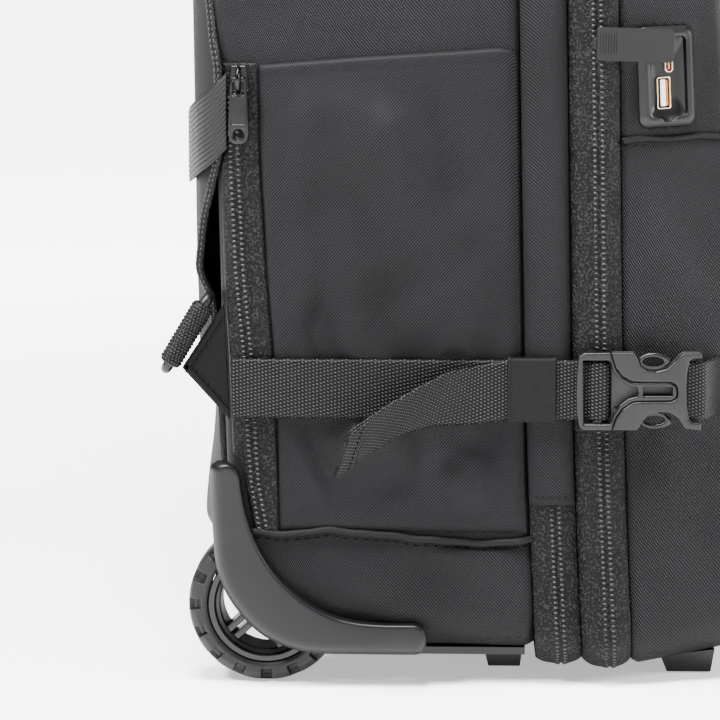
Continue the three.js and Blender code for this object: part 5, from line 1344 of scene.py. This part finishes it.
def guard_rows(side):
    """Stations from the top end to the foot: across each, the inner edge to the outer one.

    Each end is half an oval past the last station. The face drops in a quarter circle at the crisp
    inner edge, in a power curve at the soft outer one, and dips a little between the two."""
    inner = smooth_path(INNER_EDGE, 120, 12)
    outer = smooth_path(OUTER_EDGE, 120, 12)
    cap = np.linspace(0, 1, 12)[:-1]
    shares = np.sqrt(np.maximum(0, 1 - (1 - cap) ** 2.4))
    reach = 6.2
    rows, rounds = [], []
    for edge, step in ((0, 1), (-1, -1)):
        away = (inner[edge] + outer[edge] - inner[edge + step * 6] - outer[edge + step * 6])
        away = away / np.linalg.norm(away)
        middle = (inner[edge] + outer[edge]) / 2
        push = reach * (1 - cap)
        first = np.stack([middle + (inner[edge] - middle) * s + away * p
                          for s, p in zip(shares, push)])
        last = np.stack([middle + (outer[edge] - middle) * s + away * p
                         for s, p in zip(shares, push)])
        rows.append((first, last))
        rounds.append(np.minimum(1, shares))
    inner = np.vstack([rows[0][0], inner, rows[1][0][::-1]])
    outer = np.vstack([rows[0][1], outer, rows[1][1][::-1]])
    ends = np.concatenate([rounds[0], np.ones(120), rounds[1][::-1]])
    share = 0.5 - 0.5 * np.cos(np.linspace(0, np.pi, 36))
    width = np.linalg.norm(outer - inner, axis=1)[:, None]
    from_inner = share[None] * width
    from_outer = width - from_inner
    crisp = 1 - np.sqrt(np.maximum(0, 1 - (1 - np.minimum(from_inner / 1.3, 1)) ** 2))
    soft = (1 - np.minimum(from_outer / 6.5, 1)) ** 2.4
    level = 171.0 - 1.3 * crisp - 4.4 * soft - 0.5 * (1 - 4 * share * (1 - share))[None]
    end_fall = 2.6 * (1 - np.sqrt(np.maximum(0, 1 - (1 - ends) ** 2)))[:, None]
    level = level - end_fall
    front = inner[:, None] + (outer - inner)[:, None] * share[None, :, None]
    back = front[:, ::-1]
    across = np.concatenate([front, back], 1)
    depth = np.concatenate([level, np.full_like(level, 164.3)], 1)
    return np.stack([across[..., 0], side * depth, across[..., 1]], -1)


for side, word in ((-1, "left"), (1, "right")):
    guard = surface(f"corner_boot_{word}", guard_rows(side), boot, around=True, poles=(True, True))
    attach(guard, "bag")
    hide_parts(f"corner_guard_{word}")

# Wheels
# A solid rubber tyre with sixteen notches in each shoulder, pressed on a black nylon rim with five
# pairs of spokes, which runs on a steel axle between the guard and the wheel housing.
# Solid rubber: matt dark grey, a little scuffed
rubber = plain("solid tyre rubber", "0E0E0F", 0.55, relief=0.04, grain=0.5, tint=0.12,
               Specular_IOR_Level=0.25)
rim_nylon = plain("black rim nylon", "070708", 0.34, relief=0.01, grain=0.3, tint=0.08,
                  Specular_IOR_Level=0.3)


def wheel_surface(name, profile, side, material, steps=480, notched=False):
    """A closed profile of radii and widths, turned about the axle.

    In the notches the shoulder is cut in from the side and lowered a little at the tread."""
    profile = np.asarray(profile, float)
    angle = np.linspace(0, 2 * np.pi, steps, endpoint=False)
    radius = np.broadcast_to(profile[:, :1], (len(profile), steps)).copy()
    across = np.broadcast_to(profile[:, 1:], (len(profile), steps)).copy()
    if notched:
        turn = (np.degrees(angle) + 90) % 22.5
        turn = np.minimum(turn, 22.5 - turn)
        cut = (1 - ease(turn, 3.4, 4.7))[None]
        shoulder = ease(radius, 28.2, 29.4) * ease(np.abs(across), 6.2, 6.9) * cut
        across = across - np.sign(across) * shoulder * np.minimum(3.4, np.abs(across) - 6.2).clip(0)
        radius = radius - shoulder * ease(radius, 31, 34) * 1.6
    return surface(name, np.stack([WHEEL_X + radius * np.cos(angle), side * (WHEEL_Y + across),
                                   WHEEL_R + radius * np.sin(angle)], -1), material,
                   around=True, closed=True)


for side, word in ((-1, "left"), (1, "right")):
    tread = traced([(25.6, -10.2), (27, -11.2), (30.6, -11.4), (33.0, -9.6), (34, -7.0), (34, 7.0),
                    (33.0, 9.6), (30.6, 11.4), (27, 11.2), (25.6, 10.2)], 0.9, 0.3)
    tyre = wheel_surface(f"tyre_rubber_{word}", tread, side, rubber, 960, True)
    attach(tyre, f"wheel_{word}")
    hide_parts(f"tyre_{word}")
    barrel = traced([(25.3, -10), (25.3, 10.0), (24.9, 10.5), (22.7, 10.5), (22.3, 9.9),
                     (22.1, 8.6), (20.4, 8.0), (20.0, 6.5), (20.0, -9.5), (20.6, -10)], 0.35, 0.2)
    hub = traced([(3.3, -9), (3.3, 9.5), (7.2, 9.5), (7.8, 8.8), (7.8, -9)], 0.5, 0.3)
    parts = [wheel_surface("barrel", barrel, side, rim_nylon, 240),
             wheel_surface("hub", hub, side, rim_nylon, 120)]
    for bearing in range(6, 360, 72):
        turn = np.radians(bearing)
        ahead = np.array([np.cos(turn), np.sin(turn)])
        beside = np.array([-np.sin(turn), np.cos(turn)])
        for shift in (-2.25, 2.25):
            spoke = np.array([(6.0, shift - 1.5), (21.2, shift - 1.5), (21.2, shift + 1.5),
                              (6.0, shift + 1.5)])
            outline = spoke[:, :1] * ahead + spoke[:, 1:] * beside + (WHEEL_X, WHEEL_R)
            parts.append(plate("spoke", [traced(outline, 0.3, 0.3)], WHEEL_Y - 5, WHEEL_Y + 7.4,
                               0.55, rim_nylon, side))
    rim = fuse(f"rim_nylon_{word}", parts)
    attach(rim, f"wheel_{word}")
    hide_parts(f"rim_{word}")

# Wheel housings, axles, base and feet
# Plain moulded nylon liners and feet, and turned steel axles, kept as the model has them with
# softened edges.
# Turned steel: bright, with fine clouding from the tool
steel = plain("turned axle steel", "8C8C8E", 0.3, metallic=1.0)


def dressed(names, material, radius, segments=3):
    """Gives a plain piece of the model its finish and a rounded edge of that many millimetres."""
    for name in names:
        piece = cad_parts[name]
        piece.data.materials.clear()
        piece.data.materials.append(material)
        edge = piece.modifiers.new("edge", "BEVEL")
        edge.width = radius / 1000
        edge.segments = segments
        edge.limit_method = "ANGLE"
        edge.angle_limit = 0.7
        edge.harden_normals = True


pair = ("left", "right")
dressed([f"axle_{word}" for word in pair], steel, 0.4)
dressed([f"wheel_housing_{word}" for word in pair], moulded, 0.5)
dressed([f"middle_foot_{word}" for word in pair] + [f"front_foot_{word}" for word in pair]
        + ["base_plate"], moulded, 0.8)

# Pull handle and grab handle
# Drawn aluminium tubes in fixed guides with a moulded bezel and grip, and a padded webbing loop
# sewn to the top. The photograph doesn't show them, so they stay plain.
# Anodised aluminium: dark grey, smooth and clear
aluminium = plain("anodised aluminium", "3A3B3E", 0.32, metallic=1.0)
dressed([f"handle_guide_{word}" for word in pair] + [f"handle_tube_{word}" for word in pair],
        aluminium, 0.3)
dressed(["handle_bezel"], moulded, 0.8)
dressed(["handle_grip"], boot, 2.0, 4)
grab_half = [(-1, 0), (-0.86, 0.1), (-0.68, 0.75), (-0.45, 1)]
grab_line = np.array(grab_half + [(-y, rise) for y, rise in grab_half[::-1]])
grab = smooth_path(np.hstack([np.zeros((8, 1)), grab_line * (84, 24) + (0, 517.6)]), 160, 30)
grab_out = np.cross(np.gradient(grab, axis=0), (1.0, 0, 0))
grab_out /= np.linalg.norm(grab_out, axis=1)[:, None]
grab_handle = band_surface("grab_webbing", grab + (77, 0, 0), grab + (107, 0, 0), grab_out, 3.8,
                           webbing)
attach(grab_handle, "bag")
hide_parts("grab_handle")

# Harness cover
# A flap of soft plain cloth over the shoulder straps, tucked behind the lower pad. Its edges wrap
# forward to the side zips and are bound in tape with two rows of stitches.
# Soft polyester: almost black, matt, with faint creases; its floats a little lighter as a painted
# highlight and its gaps darker as painted shade
soft_cloth = woven("soft polyester cover", "0B0B0C", "030303", (0.9, 0.9), 0.1, 0.7,
                   edge=(-0.9, 0.9), cloud=0.25)
# Height, and the side edge's depth and place across there; the pad's also has its back's depth
cover_table = np.array([(124, 8.4, 138), (165, 6.6, 139), (178, 0.6, 142), (202, 3.8, 150),
                        (220.7, 9, 159), (231.9, 11.8, 166.4), (265.4, 11.6, 166.4),
                        (276.5, 9.4, 162), (295.1, 7.0, 155), (403, 2.6, 150), (470, 0.6, 144),
                        (496, -0.4, 122)])
pad_table = np.array([(56, 12, 128, 5), (63.8, 10.6, 136, 0.4), (71.6, 10.6, 143, 0.9),
                      (85.3, 12.7, 150, 2.4), (104.8, 11.9, 152, 5), (121, 11.3, 152, 6.4)])


def softened(z, table, column, reach=3.5):
    """A table's column at heights, smoothed by averaging over a few millimetres each way."""
    steps = np.linspace(-2, 2, 9) * reach
    weight = np.exp(-(steps / reach) ** 2)
    values = [np.interp(z + step, table[:, 0], table[:, column]) for step in steps]
    return (np.array(values) * weight[:, None]).sum(0) / weight.sum()


def back_cloth(name, table, z, back, thickness, material, puff, columns=121):
    """A padded sheet over the back whose edges wrap forward, as a closed skin.

    Its depth goes from the back's to the edge's by a power of the way across past two thirds, and
    the puff is taken off the outer wall."""
    edge_x, edge_y = softened(z, table, 1), softened(z, table, 2)
    across = np.linspace(-1, 1, columns)
    wrap = np.maximum(0, (np.abs(across) - 0.68) / 0.32) ** 2.6
    skin = []
    for wall in (0.0, 1.0):
        depth = thickness * wall * (1 - 0.5 * wrap)
        x = back[:, None] + (edge_x - back)[:, None] * wrap + depth
        y = across * (edge_y[:, None] - wrap * depth)
        x = x - (1 - wall) * puff(y, z[:, None])
        skin.append(np.stack([x, y, np.broadcast_to(z[:, None], x.shape)], -1))
    outer, inner = skin
    return surface(name, np.concatenate([outer, inner[:, ::-1]], 1), material, around=True,
                   poles=(True, True))


def cover_puff(y, z):
    """Vertical creases: ripples long in height, finer ones about the elastic band in a bell."""
    gather = bell(z, 231, 60)
    creases = ripples(y, z * 0.12, 5, 34, 0.8) + gather * ripples(y, z * 0.05, 6, 16, 0.5)
    return (1.0 + creases) * (1 - ease(np.abs(y), 110, 150)) - 0.6


z = np.concatenate([np.linspace(124, 300, 150), np.linspace(303, 496, 70)])
cover = back_cloth("harness_cover_cloth", cover_table, z, -1.2 + 0.55 * lean(z), 3.2, soft_cloth,
                   cover_puff)
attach(cover, "bag")
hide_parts("harness_cover")
for side, word in ((-1, "left"), (1, "right")):
    bound_z = np.linspace(126, 494, 260)
    x = softened(bound_z, cover_table, 1)
    y = softened(bound_z, cover_table, 2)
    path = np.stack([x + 0.9, side * (y + 0.1), bound_z], -1)
    out = np.array([-0.55, side * 0.83, 0])
    oval_profile = round_profile(1.0, 14) * (2.2, 1.1)
    binding = sweep(f"cover_binding_{word}", path, oval_profile, out, tape)
    lines = [spaced(path + np.array([-0.83, -side * 0.55, 0]) * inset + out * 0.95, 2.6)
             for inset in (-0.9, 0.9)]
    centres, along = (np.vstack(part) for part in zip(*lines))
    # The stitches take the coil's dark grey painted sheen
    sewn = studs(f"cover_stitches_{word}", centres, along, out, (1.7, 0.8, 0.5), coil)
    for piece in (binding, sewn):
        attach(piece, "bag")

# Lower back pad
# A foam pad in spacer cloth above the wheels that stands out towards its foot, with bound edges.
z = np.linspace(56, 121, 60)
pad_back = softened(z, pad_table, 3, 2.5)


def pad_puff(y, z):
    """A crown to each side of the pad's middle, and slight ripples."""
    return 0.5 * ripples(y, z, 15, 60, 0.5) + 0.6 * bell(np.abs(y), 75, 60) - 0.5


pad = back_cloth("lower_pad_cloth", pad_table, z, pad_back, 3.8, canvas, pad_puff)
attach(pad, "bag")
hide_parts("lower_back_pad")
for side, word in ((-1, "left"), (1, "right")):
    bound_z = np.linspace(60, 119, 80)
    path = np.stack([softened(bound_z, pad_table, 1, 2.5) + 0.6,
                     side * softened(bound_z, pad_table, 2, 2.5), bound_z], -1)
    binding = sweep(f"pad_binding_{word}", path, round_profile(1.0, 12) * (1.9, 1.0),
                    (-0.55, side * 0.83, 0), tape)
    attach(binding, "bag")

# Shoulder straps
# Two foam straps in soft cloth, sewn in at their ends and stowed flat between the cover and the
# back panel. Across each one is a flattened oval, a superellipse with a stitched groove.
for side, word in ((-1, "left"), (1, "right")):
    share = np.linspace(0, 1, 70)
    z = 190 + 280 * share
    half = 29 * np.interp(share, (0, 0.03, 0.15, 0.6, 0.9, 0.97, 1),
                          (0.42, 0.6, 0.95, 1, 0.95, 0.85, 0.7))
    y = 68 * np.interp(share, (0, 0.15, 0.6, 0.9, 1), (1.25, 1.2, 1.05, 0.85, 0.8))
    near = -1.2 + 0.55 * lean(z) + 4.1
    far = BACK + lean(z) - 0.9
    angle = np.linspace(0, 2 * np.pi, 64, endpoint=False)
    wide = np.sign(np.cos(angle)) * np.abs(np.cos(angle)) ** 0.45
    deep = np.sign(np.sin(angle)) * np.abs(np.sin(angle)) ** 0.6
    deep = deep * (1 - 0.25 * bell(np.abs(wide), 0.86, 0.05))
    x = (near + far)[:, None] / 2 + (far - near)[:, None] / 2 * deep
    points = np.stack([x, side * (y[:, None] + half[:, None] * wide),
                       np.broadcast_to(z[:, None], x.shape)], -1)
    strap = surface(f"shoulder_pad_{word}", points, soft_cloth, around=True, poles=(True, True))
    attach(strap, "bag")
    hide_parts(f"shoulder_strap_{word}")

# Elastic band
# A broad ribbed elastic round the cover that holds it closed, sewn in beside each side zip.
# Ribbed elastic: fifteen soft ribs along its length, which catch the light as faint lines
ribbed = plain("ribbed elastic", "0B0B0C", 0.55, relief=0.08, grain=0.5, tint=0.1,
               Specular_IOR_Level=0.2)
# Depth, place across and rise above the band's height at the back, from the zip to mid back
half_path = [(16, 168.6, 17), (11, 168.3, 11.5), (6.5, 164.8, 8.2), (3.4, 160.4, 6),
             (0.4, 153, 3.4), (-1.6, 145, 1.6), (-3.4, 128, 0.3), (-3.9, 110, 0)]
whole = half_path + [(-4.1, 60, 0), (-4.1, -60, 0)] + [(x, -y, r) for x, y, r in half_path[::-1]]
path = smooth_path([(x, -y, 231 + r) for x, y, r in whole], 500, 12)
run = np.gradient(path, axis=0)
out = np.stack([-run[:, 1], run[:, 0], np.zeros(len(run))], -1)
out /= -np.linalg.norm(out, axis=1)[:, None]
out *= np.sign(((path - (60, 0, 231)) * out).sum(1))[:, None]
share = np.linspace(0, 1, 91)
ribs = 0.55 + 0.16 * np.sin(share * 15 * 2 * np.pi) - 0.35 * (np.abs(2 * share - 1) ** 12)
profile = np.concatenate([share, share[-2:0:-1]])
lift = np.concatenate([ribs, np.full(89, -0.55)])
low, high = path - (0, 0, 16), path + (0, 0, 16)
points = (low[:, None] + (high - low)[:, None] * profile[None, :, None]
          + out[:, None] * lift[None, :, None])
elastic_band = surface("elastic_band_ribbed", points, ribbed, around=True, poles=(True, True))
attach(elastic_band, "bag")
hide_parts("elastic_band")

# Side tabs, loops and rings
# A triangle of canvas at each lower corner of the cover with folded hems, a rolled webbing loop
# along its outer hem, and a plastic ring held in the loop.
LOOP_LOW, LOOP_HIGH = np.array([-9.6, 140.1]), np.array([5.7, 165.6])
loop_run = (LOOP_HIGH - LOOP_LOW) / np.linalg.norm(LOOP_HIGH - LOOP_LOW)
loop_length = np.linalg.norm(LOOP_HIGH - LOOP_LOW)
for side, word in ((-1, "left"), (1, "right")):
    corners = np.array([(16.4, 115.9), (14.2, 166.1), (-4, 138.4)])
    tab = plate(f"side_tab_cloth_{word}", [traced(corners, 0.8)], 163.3, 165.0, 0.3, canvas, side)
    middle = corners.mean(0)
    pieces = [tab]
    for a, b in ((0, 2), (2, 1)):
        start, end = corners[a] * 0.93 + middle * 0.07, corners[b] * 0.93 + middle * 0.07
        inward = middle - (start + end) / 2
        inward /= np.linalg.norm(inward)
        strip = np.array([start, end, end + inward * 2.7, start + inward * 2.7])
        pieces.append(plate("hem", [traced(strip, 0.4)], 164.9, 165.6, 0.25, canvas, side))
        line = np.linspace(start + inward * 3.6, end + inward * 3.6, 9)[1:-1]
        run = np.append(end - start, 0) / np.linalg.norm(end - start)
        centres = np.stack([line[:, 0], np.full(7, side * 165.1), line[:, 1]], -1)
        sewn = studs(f"tab_stitches_{word}_{a}", centres, (run[0], 0, run[1]), (0, side, 0),
                     (2.0, 0.7, 0.45), thread)
        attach(sewn, "bag")
    tab = fuse(f"side_tab_cloth_{word}", pieces)
    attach(tab, "bag")
    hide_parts(f"side_tab_{word}")
    along = np.linspace(0, loop_length, 90)
    line = LOOP_LOW + along[:, None] * loop_run
    radius = 4.75 + 0.22 * np.sin(along * 2 * np.pi / 1.7)
    radius = radius - 1.2 * (1 - ease(along, 0, 1.2))
    radius = radius - 1.2 * ease(along, loop_length - 1.2, loop_length)
    roll_path = np.stack([line[:, 0], np.full(90, side * 164.3), line[:, 1]], -1)
    profile = round_profile(1.0, 40)[None] * radius[:, None, None]
    roll = sweep(f"tab_roll_webbing_{word}", roll_path, profile, (0, side, 0), webbing)
    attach(roll, "bag")
    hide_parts(f"tab_loop_{word}")
    half_length = loop_length / 2 + 2.9
    track = box_outline(half_length, 6.5, 3.4, (0, 6.5), 160)
    middle = (LOOP_LOW + LOOP_HIGH) / 2
    ring_path = np.stack([middle[0] + track[:, 0] * loop_run[0],
                          side * (164.3 - track[:, 1]),
                          middle[1] + track[:, 0] * loop_run[1]], -1)
    wire = sweep(f"tab_ring_nylon_{word}", ring_path, round_profile(2.3, 16),
                 (loop_run[1], 0, -loop_run[0]), moulded, closed=True)
    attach(wire, "bag")
    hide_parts(f"tab_ring_{word}")
